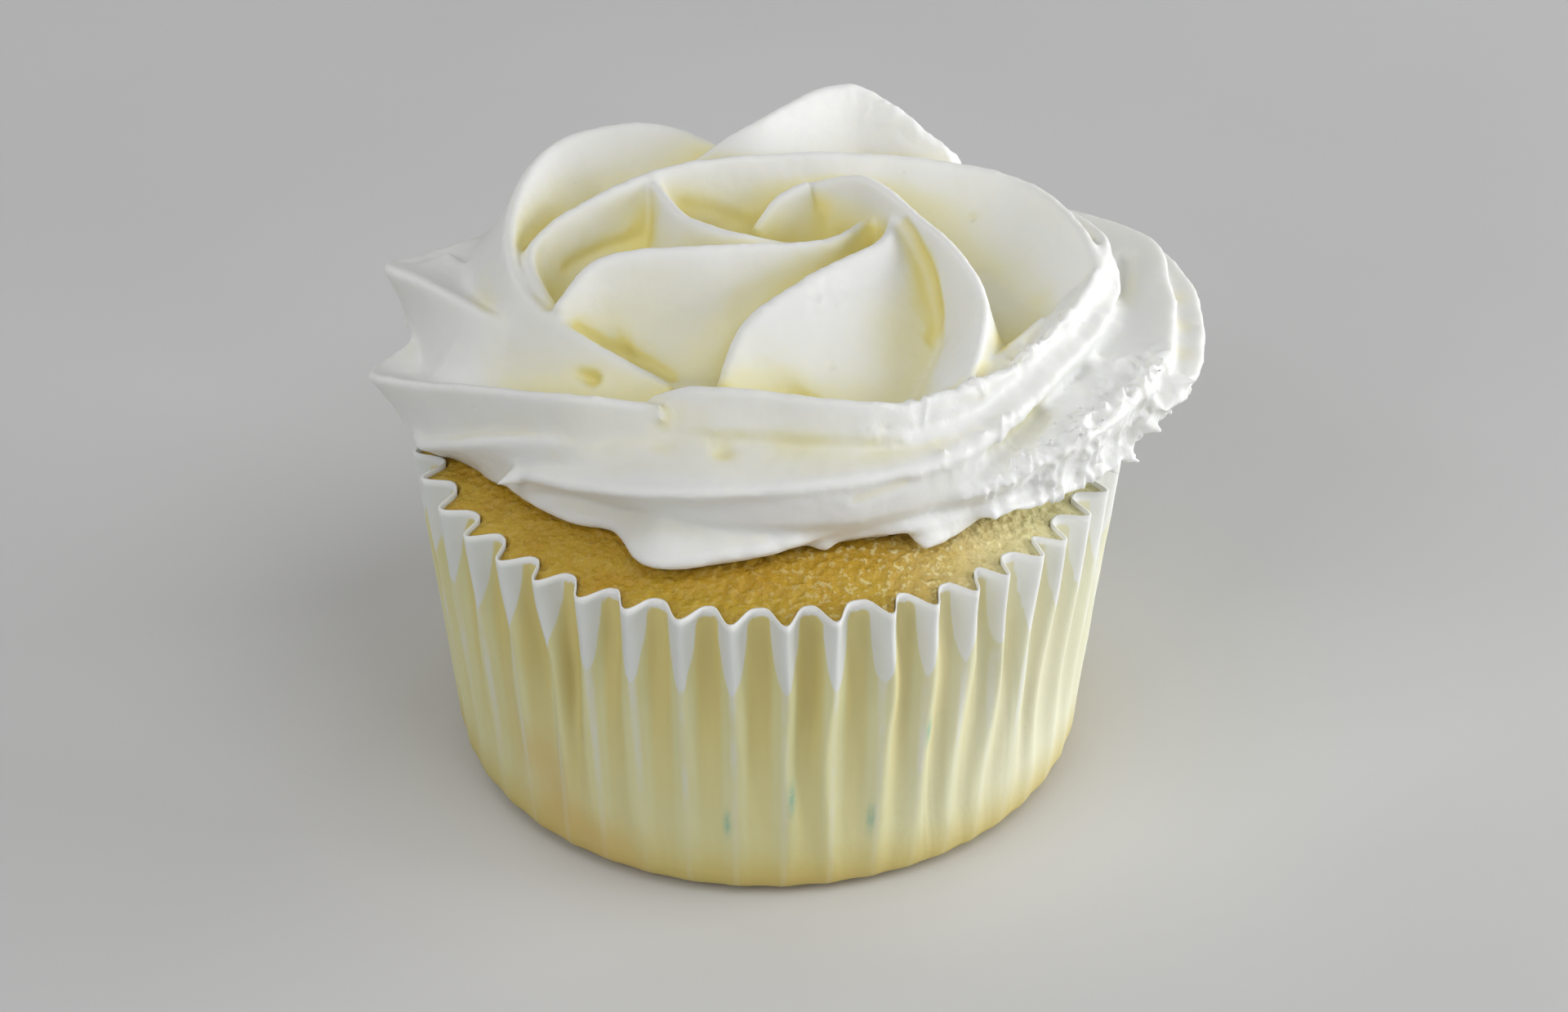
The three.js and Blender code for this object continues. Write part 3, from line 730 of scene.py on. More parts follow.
# creases run through azimuth, radius and height, with their width, depth and painted shade, below 0 for
# lighter
creases = [
    ([(20, 14.0, 53.9), (12, 14.3, 53.4), (1, 15.1, 52.4), (350.7, 16.1, 51.3), (343.5, 16.8, 49.9),
      (337, 17.2, 48.7), (334, 17.2, 48.5)], 0.5, 0.3, 0.22),
    ([(201, 19.2, 49.2), (203, 18.0, 48.3), (205, 17.0, 47.4), (207.3, 15.8, 46.8), (213.7, 14.8, 46.6),
      (219.6, 14.0, 46.2), (227.7, 13.5, 45.7)], 0.6, 0.3, 0.24),
    ([(139, 16.4, 48.8), (143.6, 17.0, 48.6), (149.4, 18.0, 48.6), (155.6, 19.1, 48.4),
      (162.2, 20.3, 48.0)], 0.7, 0.3, 0.14),
    ([(121, 15.6, 50.9), (112.5, 14.7, 50.3), (103.7, 13.6, 49.3), (97.3, 13.0, 48.6)], 0.8, 0.2, 0.12),
    ([(380, 37.3, 45.4), (373, 35.4, 45.4), (359.4, 33.4, 46.6), (352, 32.1, 45.5)], 0.9, 0.8, -0.03),
    ([(345.4, 30.8, 44.9), (336.4, 30.0, 45.2), (329.7, 29.4, 44.8)], 0.9, 0.35, -0.03),
    ([(329.7, 29.4, 44.8), (324, 29.0, 44.0), (316, 28.8, 43.6)], 0.9, 0.6, -0.03),
    ([(301.3, 25.8, 47.4), (306.6, 26.3, 47.6), (313.2, 26.8, 47.6), (318.2, 27.2, 47.7), (324.1, 27.4, 48.4),
      (329.1, 27.7, 49.0), (336.3, 28.2, 49.4), (344, 29.0, 49.7)], 0.7, 0.4, -0.4),
    ([(287, 27.8, 43.0), (291.8, 28.0, 43.4), (296.3, 28.1, 44.0)], 0.7, 0.2, 0.12),
]
# torn tips of icing: azimuths, radii (from above) or heights (from outside),
# how many, longest, and whether they lie on the top
tornAreas = [
    ((70, 88), (54, 57.4), 9, 0.6, False),
    ((40, 72), (52, 56.4), 14, 0.7, False),
    ((242, 246), (22.2, 23), 5, 0.9, True),
    ((300, 332), (24.2, 27.4), 34, 0.5, True),
    ((332, 350), (27, 29.2), 16, 0.5, True),
    ((322, 345), (37.8, 42), 16, 1.2, False),
    ((340, 356), (41, 43.6), 6, 1.2, False),
]
# upright slivers of torn icing, in bands seen from above: the azimuths, the
# radius at each end, how far they stray, how many and how long
sliverBands = [
    ((302, 324), (27.8, 29.5), 0.8, 22, 1.8), ((317, 335), (30.2, 33.4), 1.1, 24, 2.2),
    ((326, 350), (33.0, 38.0), 1.3, 30, 2.2), ((312, 334), (30.6, 35.2), 1.5, 18, 1.6),
]
# swings are degrees to each side, out and up how much a tip points each way, lengths
# shares of the longest, and flatness 1 for a round tip
tearHabits = {
    "seed": 5,
    "castHeight": 70,
    "castRadius": 60,
    "onTop": {"swing": 70, "out": (0.1, 0.7), "up": (0.5, 1.0)},
    "onSide": {"swing": 50, "out": (0.5, 1.0), "up": (-0.5, 0.9)},
    "tip": {"length": (0.35, 1.0), "flatness": (0.35, 0.8), "width": 0.16},
    "sliver": {"length": (0.5, 1.0), "flatness": (0.6, 1.0), "width": 0.17,
               "swing": 40, "out": (0.05, 0.45), "sunk": (0.25, 0.45)},
    "spike": {"flatness": 0.8, "width": 0.5},
    "cone": {"corners": 8, "centre": 0.2, "foot": 0.2, "point": 0.1, "reach": 1.5},
}


# a little pointed tip of icing, pulled out along an aim
def addFlake(bm, place, length, aim, flatness, width):
    cone = tearHabits["cone"]
    turned = aim.normalized().to_track_quat("Z", "Y").to_matrix().to_4x4()
    flat = Matrix.Diagonal((1, flatness, 1, 1))
    centre = place + aim.normalized() * length * cone["centre"]
    placed = Matrix.Translation(centre * mm) @ turned @ flat @ Matrix.Scale(mm, 4)
    bmesh.ops.create_cone(bm, cap_ends=True, segments=cone["corners"], radius1=width * length + cone["foot"],
                          radius2=cone["point"], depth=length * cone["reach"], matrix=placed)


# where the icing is met from straight above, or from outside at a height
def meetIcing(tree, azimuth, level, fromAbove):
    if fromAbove:
        start = fromPolar(azimuth, level, tearHabits["castHeight"]) * mm
        return tree.ray_cast(start, Vector((0, 0, -1)))[0]
    start = fromPolar(azimuth, tearHabits["castRadius"], level) * mm
    return tree.ray_cast(start, -fromPolar(azimuth, 1, 0))[0]


def addTips(bm, tree, draw):
    tip = tearHabits["tip"]
    for azimuths, levels, count, longest, fromAbove in tornAreas:
        habit = tearHabits["onTop" if fromAbove else "onSide"]
        swing = habit["swing"]
        for _ in range(count):
            azimuth = draw.uniform(*azimuths)
            level = draw.uniform(*levels)
            place = meetIcing(tree, azimuth, level, fromAbove)
            aim = fromPolar(azimuth + draw.uniform(-swing, swing), draw.uniform(*habit["out"]),
                            draw.uniform(*habit["up"]))
            if place:
                length = longest * draw.uniform(*tip["length"])
                addFlake(bm, place / mm, length, aim, draw.uniform(*tip["flatness"]), tip["width"])


def addSlivers(bm, tree, draw):
    sliver = tearHabits["sliver"]
    swing = sliver["swing"]
    for azimuths, radii, stray, count, longest in sliverBands:
        for _ in range(count):
            share = draw.random()
            azimuth = along(azimuths, share)
            radius = along(radii, share) + draw.uniform(-stray, stray)
            place = meetIcing(tree, azimuth, radius, True)
            aim = fromPolar(azimuth + draw.uniform(-swing, swing), draw.uniform(*sliver["out"]), 1)
            if place:
                sunk = place / mm - fromPolar(azimuth, *sliver["sunk"])
                length = longest * draw.uniform(*sliver["length"])
                addFlake(bm, sunk, length, aim, draw.uniform(*sliver["flatness"]), sliver["width"])


def addTears(piece):
    bm = bmesh.new()
    bm.from_mesh(piece.data)
    tree = BVHTree.FromBMesh(bm)
    draw = random.Random(tearHabits["seed"])
    addTips(bm, tree, draw)
    addSlivers(bm, tree, draw)
    spike = tearHabits["spike"]
    for azimuth, radius, height, length, towards, rise in frostingMarks["spikes"]:
        addFlake(bm, fromPolar(azimuth, radius, height), length, fromPolar(towards, 1, rise),
                 spike["flatness"], spike["width"])
    around, out, level, size = frostingMarks["plug"]
    bmesh.ops.create_icosphere(bm, subdivisions=3, radius=size * mm,
                               matrix=Matrix.Translation(fromPolar(around, out, level) * mm))
    bm.to_mesh(piece.data)
    bm.free()


# leaves only the largest connected body, without crumbs or closed bubbles
def dropCrumbs(mesh):
    pairs = np.zeros(len(mesh.edges) * 2, dtype=np.int32)
    mesh.edges.foreach_get("vertices", pairs)
    one, other = pairs[0::2], pairs[1::2]
    labels = np.arange(len(mesh.vertices))
    while True:
        low = np.minimum(labels[one], labels[other])
        joined = labels.copy()
        np.minimum.at(joined, labels[one], low)
        np.minimum.at(joined, labels[other], low)
        joined = joined[joined]
        if np.array_equal(joined, labels):
            break
        labels = joined
    whole = np.bincount(labels).argmax()
    bm = bmesh.new()
    bm.from_mesh(mesh)
    bm.verts.ensure_lookup_table()
    loose = [bm.verts[k] for k in np.nonzero(labels != whole)[0]]
    print("frosting crumbs dropped", len(loose), "of", len(labels))
    bmesh.ops.delete(bm, geom=loose, context="VERTS")
    bm.to_mesh(mesh)
    bm.free()


# how near each point lies to a crease, 1 at its middle
def nearCrease(coords, stations, width):
    line = [fromPolar(*station) for station in stations]
    near = np.full(len(coords), np.inf)
    for a, b in zip(line, line[1:]):
        a, b = np.array(a) * mm, np.array(b) * mm
        share = np.clip((coords - a) @ (b - a) / ((b - a) @ (b - a)), 0, 1)
        near = np.minimum(near, np.linalg.norm(coords - a - share[:, None] * (b - a), axis=1))
    return np.exp(-(near / (width * mm)) ** 2)


# where the icing is torn: between two azimuths, with how far each end fades, on the
# outer face and along the brim's edge. faceShift is by how many mm a degree the face
# starts further out, from which azimuth and over how many degrees; brim is its
# radius, its shift in mm a degree and from which azimuth
tornShape = {
    "azimuths": (285, 358),
    "fades": (22, 12),
    "face": (27.5, 31.5),
    "faceShift": (0.1, 320, 40),
    "faceTop": (46.5, 48.5),
    "brim": (25.5, 0.06, 316),
    "brimWidth": 1.6,
    "brimAmount": 1.3,
}
# relief of the torn icing: upright slivers in patches, on lumps, in mm and in patches to the mm
tornRelief = {
    "least": 0.02,
    "slivers": 0.45,
    "sliverScale": 0.85,
    "sliverEdge": 2.6,
    "upright": 0.35,
    "patchScale": 0.4,
    "patchEdge": (-0.25, 0.25),
    "lumps": 0.4,
    "lumpScale": 0.5,
    "sunk": 0.12,
}
smoothRelief = {"broad": 0.09, "broadScale": 0.3, "fine": 0.05}


# 1 where the icing is torn, at the right of the front
def howTorn(coords):
    turned, radius = polarPlaces(coords)
    low, high = tornShape["azimuths"]
    fadeIn, fadeOut = tornShape["fades"]
    torn = smoothSteps(low, low + fadeIn, turned) * (1 - smoothSteps(high - fadeOut, high, turned))
    shift, shiftFrom, shiftSpan = tornShape["faceShift"]
    shifted = radius - shift * np.clip(turned - shiftFrom, 0, shiftSpan)
    below = 1 - smoothSteps(*tornShape["faceTop"], coords[:, 2] / mm)
    face = smoothSteps(*tornShape["face"], shifted) * below
    brimRadius, brimShift, brimFrom = tornShape["brim"]
    fromBrim = np.abs(radius - brimRadius - brimShift * (turned - brimFrom)) / tornShape["brimWidth"]
    brim = tornShape["brimAmount"] * (1 - np.clip(fromBrim, 0, 1))
    result = torn * np.maximum(face, brim)
    for around, out, level, size, amount in frostingMarks["roughSpots"]:
        result = np.maximum(result, amount * nearPoint(coords, spotAt(around, out, level), size))
    return result


def tornPush(at):
    upright = Vector((at.x, at.y, at.z * tornRelief["upright"]))
    edge = 1 - tornRelief["sliverEdge"] * abs(noise.noise(upright * tornRelief["sliverScale"]))
    patch = smoothStep(*tornRelief["patchEdge"], noise.noise(at * tornRelief["patchScale"]))
    sliver = max(0.0, edge) * patch
    lump = noise.noise(at * tornRelief["lumpScale"])
    return tornRelief["slivers"] * sliver + tornRelief["lumps"] * lump - tornRelief["sunk"]


# how far each point of the icing is pushed out along its normal, in mm
def icingRelief(coords, torn):
    push = np.zeros(len(coords))
    for k in np.nonzero(torn > tornRelief["least"])[0]:
        push[k] = torn[k] * tornPush(Vector(coords[k]) / mm)
    broad, broadScale, fine = (smoothRelief[key] for key in ("broad", "broadScale", "fine"))
    for k in range(len(coords)):
        at = Vector(coords[k]) / mm
        push[k] += (1 - torn[k]) * (broad * noise.noise(at * broadScale) + fine * noise.noise(at))
    draw = random.Random(frostingMarks["bubbleSeed"])
    for _ in range(frostingMarks["bubbles"]):
        centre = coords[draw.randrange(len(coords))]
        depth = draw.uniform(*frostingMarks["bubbleDepths"])
        push -= depth * nearPoint(coords, centre, draw.uniform(*frostingMarks["bubbleSizes"]))
    for around, out, height, size, depth in frostingMarks["pits"]:
        push -= depth * nearPoint(coords, spotAt(around, out, height), size)
    for stations, width, depth, _ in creases:
        push -= depth * nearCrease(coords, stations, width)
    return push


def thinOut(piece, triangles):
    piece.data.calc_loop_triangles()
    found = len(piece.data.loop_triangles)
    print("frosting triangles before thinning", found)
    if found > triangles:
        thin = piece.modifiers.new("thin", "DECIMATE")
        thin.ratio = triangles / found
        bakeModifiers(piece)


def sculptFrosting(piece):
    addTears(piece)
    remesh = piece.modifiers.new("whole", "REMESH")
    remesh.mode = "VOXEL"
    remesh.voxel_size = frostingDetail["voxel"] * mm
    bakeModifiers(piece)
    mesh = piece.data
    dropCrumbs(mesh)
    coords = readCoords(mesh)
    torn = howTorn(coords)
    little = frostingDetail["smoothingTorn"]
    rough = relaxed(mesh, coords, little)
    eased = relaxed(mesh, rough, frostingDetail["smoothing"] - little)
    writeCoords(mesh, eased)
    normals = readNormals(mesh)
    coords = rough * torn[:, None] + eased * (1 - torn[:, None])
    coords = coords + normals * (icingRelief(coords, torn) * mm)[:, None]
    coords[:, 0] = np.minimum(coords[:, 0], frostingMarks["rightmost"] * mm)
    restOnCake(coords)
    writeCoords(mesh, coords)
    thinOut(piece, frostingDetail["triangles"])
    measureRecess(piece)


# recess, painted on the icing as shade: how far and with how many rays a point looks round;
# outside the rose only a share of it counts, less so at the front, and the top of the rose stays pale
recessShape = {
    "reach": 11.0,
    "rays": 16,
    "clear": 0.12,
    "easing": 6,
    "roseHeights": (41, 46),
    "roseRadii": (30, 26),
    "outside": 0.3,
    "outsideFront": 0.12,
    "front": (270, 365),
    "paleHeights": (50.5, 55),
    "paleShare": 0.75,
    "roseShade": 0.05,
    "roseShadeHeights": (52, 55),
    "creaseSpread": 1.1,
}


# how much of the view from each vertex the icing itself closes off, 0 to 1
def shutIn(mesh, coords, normals):
    tree = BVHTree.FromPolygons([Vector(c) for c in coords], [p.vertices[:] for p in mesh.polygons])
    reach = recessShape["reach"] * mm
    rays = recessShape["rays"]
    shut = np.zeros(len(coords))
    golden = math.pi * (3 - math.sqrt(5))
    anySide = np.array([0.31, 0.52, 0.79])
    across = np.cross(normals, anySide)
    across /= np.linalg.norm(across, axis=1)[:, None]
    other = np.cross(normals, across)
    starts = [Vector(c) for c in coords + normals * (recessShape["clear"] * mm)]
    for k in range(rays):
        rise = math.sqrt(1 - (k + 0.5) / rays)
        flat = math.sqrt((k + 0.5) / rays)
        turn = golden * k
        aims = (normals * rise + across * (flat * math.cos(turn)) + other * (flat * math.sin(turn)))
        for index, aim in enumerate(aims):
            away = tree.ray_cast(starts[index], Vector(aim), reach)[3]
            if away is not None:
                shut[index] += 1 - away / reach
    return shut / rays


# stores recess, how shut in a point lies, with spots of painted shade, and torn, how rough the icing is there
def measureRecess(piece):
    mesh = piece.data
    coords = readCoords(mesh)
    shut = shutIn(mesh, coords, readNormals(mesh))
    eased = relaxed(mesh, shut[:, None], recessShape["easing"])[:, 0]
    turned, radius = polarPlaces(coords)
    height = coords[:, 2] / mm
    inRose = smoothSteps(*recessShape["roseHeights"], height) * smoothSteps(*recessShape["roseRadii"], radius)
    low, high = recessShape["front"]
    outside = np.where((turned > low) & (turned < high), recessShape["outsideFront"], recessShape["outside"])
    pale = recessShape["paleShare"] * smoothSteps(*recessShape["paleHeights"], height)
    within = (outside + (1 - outside) * inRose) * (1 - pale)
    # painted shade added in the rose, at the shade spots and along the creases
    paintedShade = recessShape["roseShade"] * inRose * (1 - smoothSteps(*recessShape["roseShadeHeights"], height))
    for around, out, level, size, amount in frostingMarks["shadeSpots"]:
        paintedShade += amount * nearPoint(coords, spotAt(around, out, level), size)
    for stations, width, _, amount in creases:
        paintedShade += amount * nearCrease(coords, stations, width * recessShape["creaseSpread"])
    storeValues(mesh, "recess", np.clip(eased * within + paintedShade, 0, 1))
    storeValues(mesh, "torn", howTorn(coords))
    for face in mesh.polygons:
        face.use_smooth = True
    print("frosting recess", np.percentile(eased, [5, 50, 90, 99]).round(2))


sculptFrosting(frosting)
finishPiece(frosting, "frosting")
print("frosting done")


def pleatAzimuth(turn):
    even = caseShape["firstPleat"] + turn * 360
    drift = sum(size * math.sin(math.radians(cycles * even + phase))
                for size, cycles, phase in caseShape["drift"])
    return math.radians(even + drift)


def pleatDepth(height):
    atBase, atWaist, atRim = caseShape["depths"]
    low, waist, rim = (caseShape[key] for key in ("roundHeight", "waist", "height"))
    if height < waist:
        return atBase + (atWaist - atBase) * (max(height - low, 0) / (waist - low))
    return atWaist + (atRim - atWaist) * (height - waist) / (rim - waist)


def wallRadius(height):
    share = (height - caseShape["roundHeight"]) / (caseShape["height"] - caseShape["roundHeight"])
    return caseShape["baseRadius"] + (caseShape["rimRadius"] - caseShape["baseRadius"]) * share


# a profile spun about +Z, with the row of each point as its height while it is spun;
# shape(turn, row) then places every vertex
def turnedPiece(profile, steps, shape):
    bm = bmesh.new()
    last = None
    for row, (radius, _) in enumerate(profile):
        vert = bmesh.ops.create_vert(bm, co=(radius, 0, row))["vert"][0]
        if last:
            bm.edges.new((last, vert))
        last = vert
    bmesh.ops.spin(bm, geom=bm.verts[:] + bm.edges[:], axis=(0, 0, 1), cent=(0, 0, 0),
                   angle=math.tau, steps=steps, use_merge=True)
    bmesh.ops.remove_doubles(bm, verts=bm.verts, dist=caseShape["weld"])
    for vert in bm.verts:
        turn = (math.atan2(vert.co.y, vert.co.x) / math.tau) % 1.0
        vert.co = shape(turn, round(vert.co.z)) * mm
    bmesh.ops.recalc_face_normals(bm, faces=bm.faces)
    return bm


# how unevenly the paper is folded: each pleat is deeper, sways and stands up by habits of its
# own, and between the base and the rim it is loose; From and Until are heights in mm over
# which each starts and ends
paperFolds = {
    "seed": 11,
    "looseFrom": (1, 8),
    "looseUntil": (34, 22),
    "looseAround": 5.0,
    "looseAlong": 0.07,
    "looseDepth": 2.2,
    "looseBend": 3.0,
    "bendScale": 0.8,
    "bendPlace": (9, 3, 5),
    "sharp": 1.25,
    "sharperUp": 0.35,
    "sharperDeep": 0.25,
    "deeper": 0.4,
    "deeperUp": -0.3,
    "deepest": 1.25,
    "sway": 0.7,
    "swayFrom": (0, 12),
    "creaseFrom": (2, 10),
    "creaseUntil": (32, 24),
    "crease": 0.35,
    "creasePace": 61,
    "ripple": 0.10,
    "rippleShift": 40,
    "rippleScale": 0.22,
    "creaseFall": 0.8,
    "footWidth": 0.8,
    "rimFrom": 24,
    "rimDrop": 0.10,
    "rimLift": 0.16,
    "rimWave": 0.14,
}
pleatRandom = random.Random(paperFolds["seed"])
pleatHabits = [(pleatRandom.uniform(-1, 1), pleatRandom.uniform(-1, 1), pleatRandom.uniform(-1, 1))
               for _ in range(caseShape["pleats"])]


# 0 in an inner fold, 1 on an outer fold
def pleatWave(turn, sharp):
    return (0.5 - 0.5 * math.cos(math.tau * caseShape["pleats"] * turn)) ** sharp


def pleatHabit(turn):
    place = turn * caseShape["pleats"] - 0.5
    one = math.floor(place)
    share = smoothStep(0.25, 0.75, place - one)
    count = caseShape["pleats"]
    return [a + (b - a) * share for a, b in zip(pleatHabits[one % count], pleatHabits[(one + 1) % count])]


# a point of the folded paper, inset from its outer face
def paperPoint(turn, height, radius, inset):
    folds = paperFolds
    deeper, sway, lift = pleatHabit(turn)
    share = height / caseShape["height"]
    around = fromPolar(turn * 360, folds["looseAround"], height * folds["looseAlong"])
    loose = smoothStep(*folds["looseFrom"], height) * smoothStep(*folds["looseUntil"], height)
    deeper += folds["looseDepth"] * loose * noise.noise(around)
    bend = folds["looseBend"] * loose * noise.noise(around * folds["bendScale"] + Vector(folds["bendPlace"]))
    wave = pleatWave(turn, folds["sharp"] + folds["sharperUp"] * share + folds["sharperDeep"] * deeper)
    depth = pleatDepth(height) * (1 + deeper * (folds["deeper"] + folds["deeperUp"] * share))
    middle = smoothStep(*folds["creaseFrom"], height) * smoothStep(*folds["creaseUntil"], height)
    ripplePlace = height + folds["rippleShift"] * turn * caseShape["pleats"]
    crease = (folds["crease"] * middle * wobble(turn * folds["creasePace"], 1.0, 17)
              + folds["ripple"] * wobble(ripplePlace, folds["rippleScale"], 3))
    onWall = smoothStep(caseShape["flatRadius"], caseShape["baseRadius"] - folds["footWidth"], radius)
    depth = min(depth, pleatDepth(height) * folds["deepest"])
    fall = depth * (1 - wave) + max(crease, 0) * folds["creaseFall"]
    out = radius - onWall * fall - inset
    swayed = folds["sway"] * sway * share * smoothStep(*folds["swayFrom"], height)
    azimuth = pleatAzimuth(turn) + math.radians(swayed + bend)
    atRim = smoothStep(folds["rimFrom"], caseShape["height"], height)
    drop = atRim * (folds["rimDrop"] + folds["rimLift"] * lift + folds["rimWave"] * wave)
    return Vector((out * math.cos(azimuth), out * math.sin(azimuth), height - max(drop, 0)))


def buildCase():
    low, rim, flat, paper = (caseShape[key] for key in ("roundHeight", "height", "flatRadius", "paper"))
    steps = caseShape["wallSteps"]
    levels = [low + (rim - low) * (k / steps) ** caseShape["wallCrowding"] for k in range(steps + 1)]
    wall = [(wallRadius(level), level) for level in levels]
    near, far = caseShape["floorRings"]
    outer = [(0, 0), (near, 0), (far, 0), (flat, 0), *caseShape["footOutside"], *wall]
    inner = [*reversed(wall), *caseShape["footInside"], (flat, paper), (near, paper), (0, paper)]
    profile = outer + inner
    firstInner = len(outer)

    def shape(turn, row):
        radius, height = profile[row]
        if not radius:
            return Vector((0, 0, height))
        inset = paper if row >= firstInner and radius > flat else 0.0
        return paperPoint(turn, height, radius, inset)

    bm = turnedPiece(profile, caseShape["pleats"] * caseShape["stepsPerPleat"], shape)
    piece = addPiece("pleatedCase", bm, makePaper())
    paintCase(piece)
    return piece


# ink and stains are azimuth in degrees, height in mm, and how wide and tall they are.
# dryReach says how far out a fold has to stand to stay dry, at the rim and further down,
# in shares of the free height above the cake's contact, and all is dry above dryTop
caseMarks = {
    "freeHeight": 9.0,
    "foldSharp": 1.5,
    "dryReach": (0.26, 0.76, 2.2),
    "dryTop": (33.5, 0.3),
    "jitter": 0.14,
    "jitterTop": 0.3,
    "jitterPlace": (3.0, 0.3),
    "jitterScale": 0.7,
    "ink": [(263, 9.4, 0.32, 1.3), (274, 12.6, 0.3, 1.8), (288, 9.0, 0.3, 1.5), (297.5, 18.5, 0.3, 1.4)],
    "inkSpread": 1.9,
    "inkStrength": 0.8,
    "stains": [(238, 3.5, 14, 4.0), (225, 8, 8, 5), (264, 1.0, 18, 1.8)],
    "tableSteps": 4600,
}


# each mark fades round its azimuth and height
def paintMarks(azimuth, height, marks, spread=1.0):
    painted = np.zeros(len(azimuth))
    for around, level, wide, tall in marks:
        painted += np.exp(-((azimuth - around) / (wide * spread)) ** 2 - ((height - level) / tall) ** 2)
    return painted


def paintCase(piece):
    mesh = piece.data
    coords = readCoords(mesh) / mm
    azimuth = np.degrees(np.arctan2(coords[:, 1], coords[:, 0])) % 360
    turns = np.linspace(0, 1, caseMarks["tableSteps"] + 1)
    angles = [math.degrees(pleatAzimuth(turn)) for turn in turns]
    turn = np.interp(azimuth, angles, turns)
    wave = (0.5 - 0.5 * np.cos(math.tau * caseShape["pleats"] * turn)) ** caseMarks["foldSharp"]
    height = coords[:, 2]
    fromRim = (caseShape["height"] - height) / caseMarks["freeHeight"]
    aroundPace, upPace = caseMarks["jitterPlace"]
    jitter = np.array([wobble(a * aroundPace + h * upPace, caseMarks["jitterScale"], 9)
                       for a, h in zip(azimuth, height)])
    least, grown, power = caseMarks["dryReach"]
    reach = least + grown * np.clip(fromRim, 0, 2) ** power + caseMarks["jitter"] * jitter
    topHeight, topShare = caseMarks["dryTop"]
    dryTop = (height + caseMarks["jitterTop"] * jitter - topHeight) * topShare
    ink = paintMarks(azimuth, height, caseMarks["ink"], caseMarks["inkSpread"])
    stain = paintMarks(azimuth, height, caseMarks["stains"])
    storeValues(mesh, "dry", np.clip(np.maximum(wave - reach, dryTop), -1, 1))
    storeValues(mesh, "fold", wave)
    storeValues(mesh, "height", height / caseShape["height"])
    storeValues(mesh, "stain", np.clip(stain, 0, 1))
    storeValues(mesh, "ink", np.clip(ink * caseMarks["inkStrength"], 0, 1))


# how far the crumb stands out or lies back on the crown
def crumbRelief(spot, radius):
    rough = (noise.fractal(spot * cakeShape["crumbScale"], *cakeShape["crumbNoise"])
             + cakeShape["lumps"] * noise.noise(spot * cakeShape["lumpScale"]))
    least, most = cakeShape["crumbLimits"]
    rough = max(least, min(most, cakeShape["crumbDepth"] * rough))
    return rough * smoothStep(*cakeShape["crumbFrom"], radius)


def buildCake():
    low, high, steps = (cakeShape[key] for key in ("sideFrom", "sideTo", "sideSteps"))
    levels = [low + (high - low) * k / steps for k in range(steps + 1)]
    floorRadius, floorHeight = cakeShape["floor"]
    profile = [(0, floorHeight), (floorRadius, floorHeight)]
    profile += [(wallRadius(level), level) for level in levels]
    lastSide = len(profile) - 1
    edge = cakeShape["crown"][-1][0] + cakeShape["edgeOut"]
    middle = cakeShape["middleRings"]
    rings = [edge - cakeShape["ringStep"] * k for k in range(cakeShape["crumbRings"])]
    rings += [rings[-1] * (1 - k / middle) for k in range(1, middle + 1)]
    profile += [(radius, float(crownHeight(radius)) - cakeShape["crownSunk"]) for radius in rings]

    def shape(turn, row):
        radius, height = profile[row]
        azimuth = pleatAzimuth(turn)
        if 1 < row <= lastSide:
            return paperPoint(turn, height, radius, caseShape["paper"] + cakeShape["paperGap"])
        if row > lastSide:
            height += crumbRelief(fromPolar(math.degrees(azimuth), radius, 0), radius)
        return Vector((radius * math.cos(azimuth), radius * math.sin(azimuth), height))

    bm = turnedPiece(profile, caseShape["pleats"] * caseShape["stepsPerPleat"], shape)
    return addPiece("spongeCake", bm, makeCrumb())


paperCase = buildCase()
finishPiece(paperCase, "paper_case")
cake = buildCake()
finishPiece(cake, "cake")
print("case and cake done")


def makeFloor():
    look = {"halfWidth": 3.0, "toneScale": 14.0, "dark": (0.58, 0.58, 0.583), "light": (0.63, 0.63, 0.633),
            "roughness": (0.3, 0.7, 0.75, 0.85)}
    bm = bmesh.new()
    bmesh.ops.create_grid(bm, x_segments=2, y_segments=2, size=look["halfWidth"])
    s = Shader("paleFloor")
    tone = s.noise(look["toneScale"], 2.0)
    s.feed(s.surface.inputs["Base Color"], s.blend(tone, look["dark"], look["light"]))
    s.feed(s.surface.inputs["Roughness"], s.ramp(tone, *look["roughness"]))
    addPiece("floor", bm, s.material)


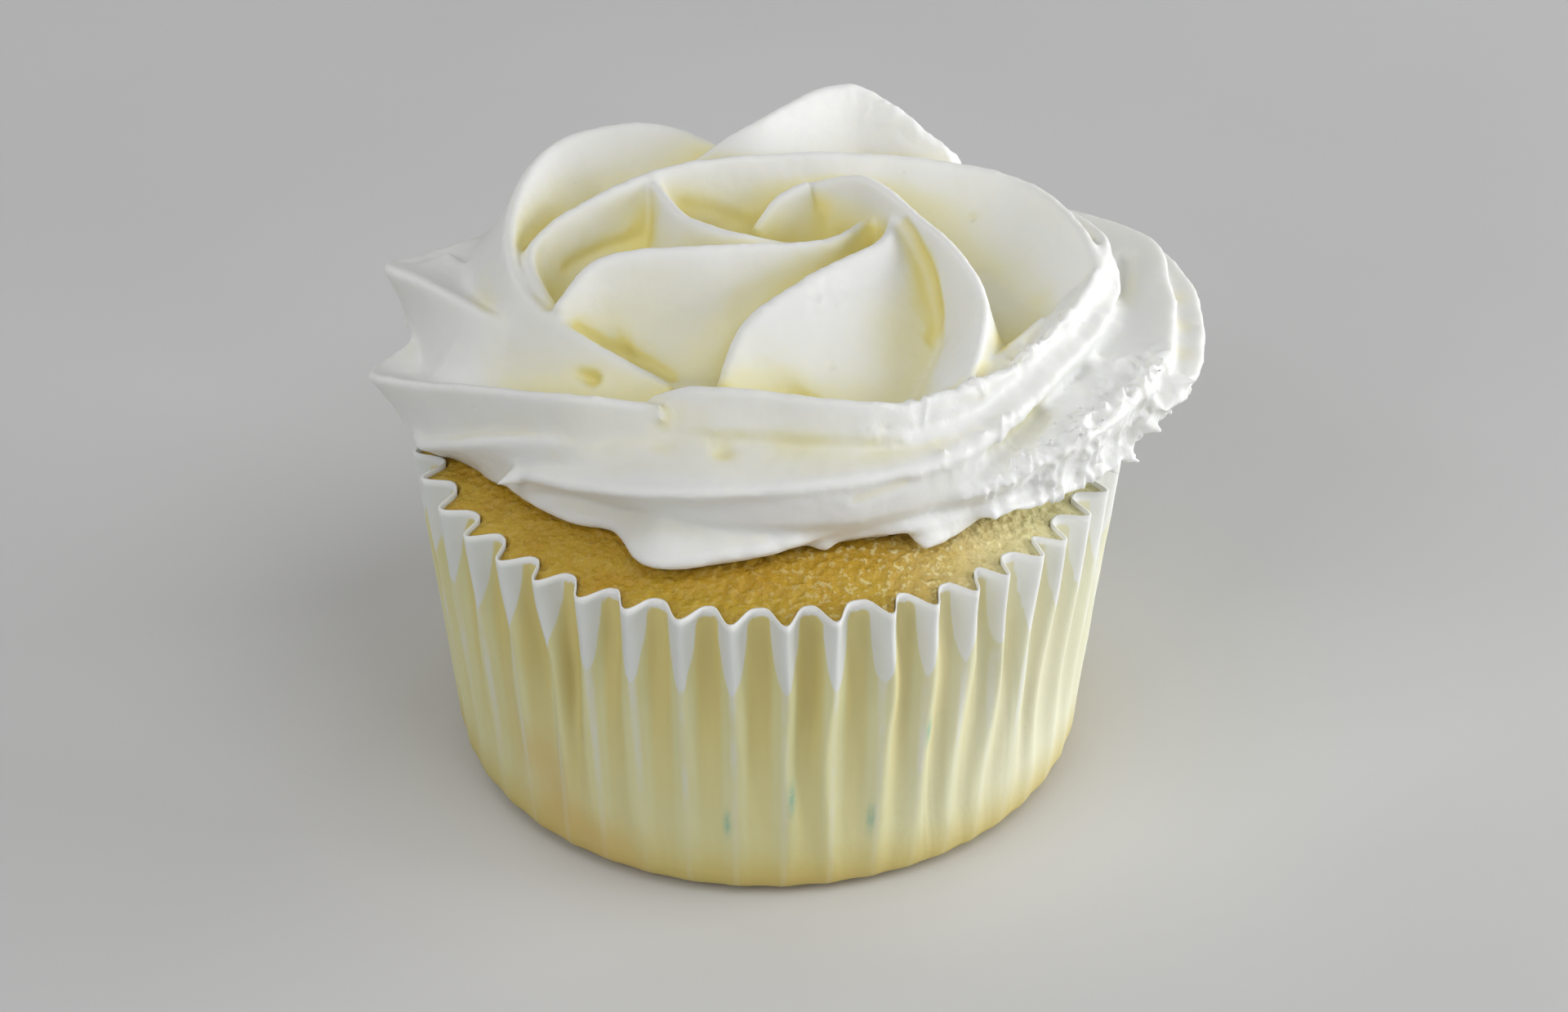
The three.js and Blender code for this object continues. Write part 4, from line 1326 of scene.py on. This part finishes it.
# soft boxes round the object: azimuth and elevation in degrees, power in watts
studio = {
    "boxes": {"right": (0, 8, 5.3), "backRight": (45, 8, 2.2), "frontRight": (315, 8, 1.2),
              "backLeft": (135, 30, 1.25), "frontLeft": (225, 30, 1.9), "highLeft": (225, 60, 0.9),
              "highRight": (315, 60, 1.9)},
    "lookAt": (0, 0, 0.03),
    "distance": 0.8,
    "boxSize": 0.5,
    "sky": 0.03,
}


def makeStudio():
    middle = Vector(studio["lookAt"])
    for name, (azimuth, elevation, power) in studio["boxes"].items():
        lamp = bpy.data.lights.new(name + "Box", "AREA")
        lamp.energy = power
        lamp.size = studio["boxSize"]
        box = bpy.data.objects.new(name + "Box", lamp)
        flat = math.cos(math.radians(elevation))
        rise = math.sin(math.radians(elevation))
        box.location = middle + fromPolar(azimuth, flat, rise) * studio["distance"]
        box.rotation_euler = (middle - box.location).to_track_quat("-Z", "Y").to_euler()
        bpy.context.scene.collection.objects.link(box)
    world = bpy.data.worlds.new("softSky")
    world.use_nodes = True
    sky = world.node_tree.nodes["Background"].inputs
    sky["Color"].default_value = (1.0, 1.0, 1.0, 1)
    sky["Strength"].default_value = studio["sky"]
    bpy.context.scene.world = world
    bpy.context.scene.view_settings.view_transform = "Standard"


def makeCamera():
    view = {"elevation": 33.2, "distance": 0.45, "lookHeight": 0.03, "focalPixels": 5653,
            "centre": (940.6, 562.0), "frame": (1920, 1239), "sensor": 36.0, "clipStart": 0.01}
    rise = math.radians(view["elevation"])
    back = Vector((0, -math.cos(rise), math.sin(rise)))
    camera = bpy.data.objects.new("camera", bpy.data.cameras.new("camera"))
    camera.location = Vector((0, 0, view["lookHeight"])) + back * view["distance"]
    camera.rotation_euler = (-back).to_track_quat("-Z", "Y").to_euler()
    wide, high = view["frame"]
    across, down = view["centre"]
    camera.data.sensor_width = view["sensor"]
    camera.data.lens = view["focalPixels"] * view["sensor"] / wide
    camera.data.shift_x = (wide / 2 - across) / wide
    camera.data.shift_y = (down - high / 2) / wide
    camera.data.clip_start = view["clipStart"]
    bpy.context.scene.collection.objects.link(camera)
    bpy.context.scene.camera = camera


makeFloor()
makeStudio()
makeCamera()
print("studio done")
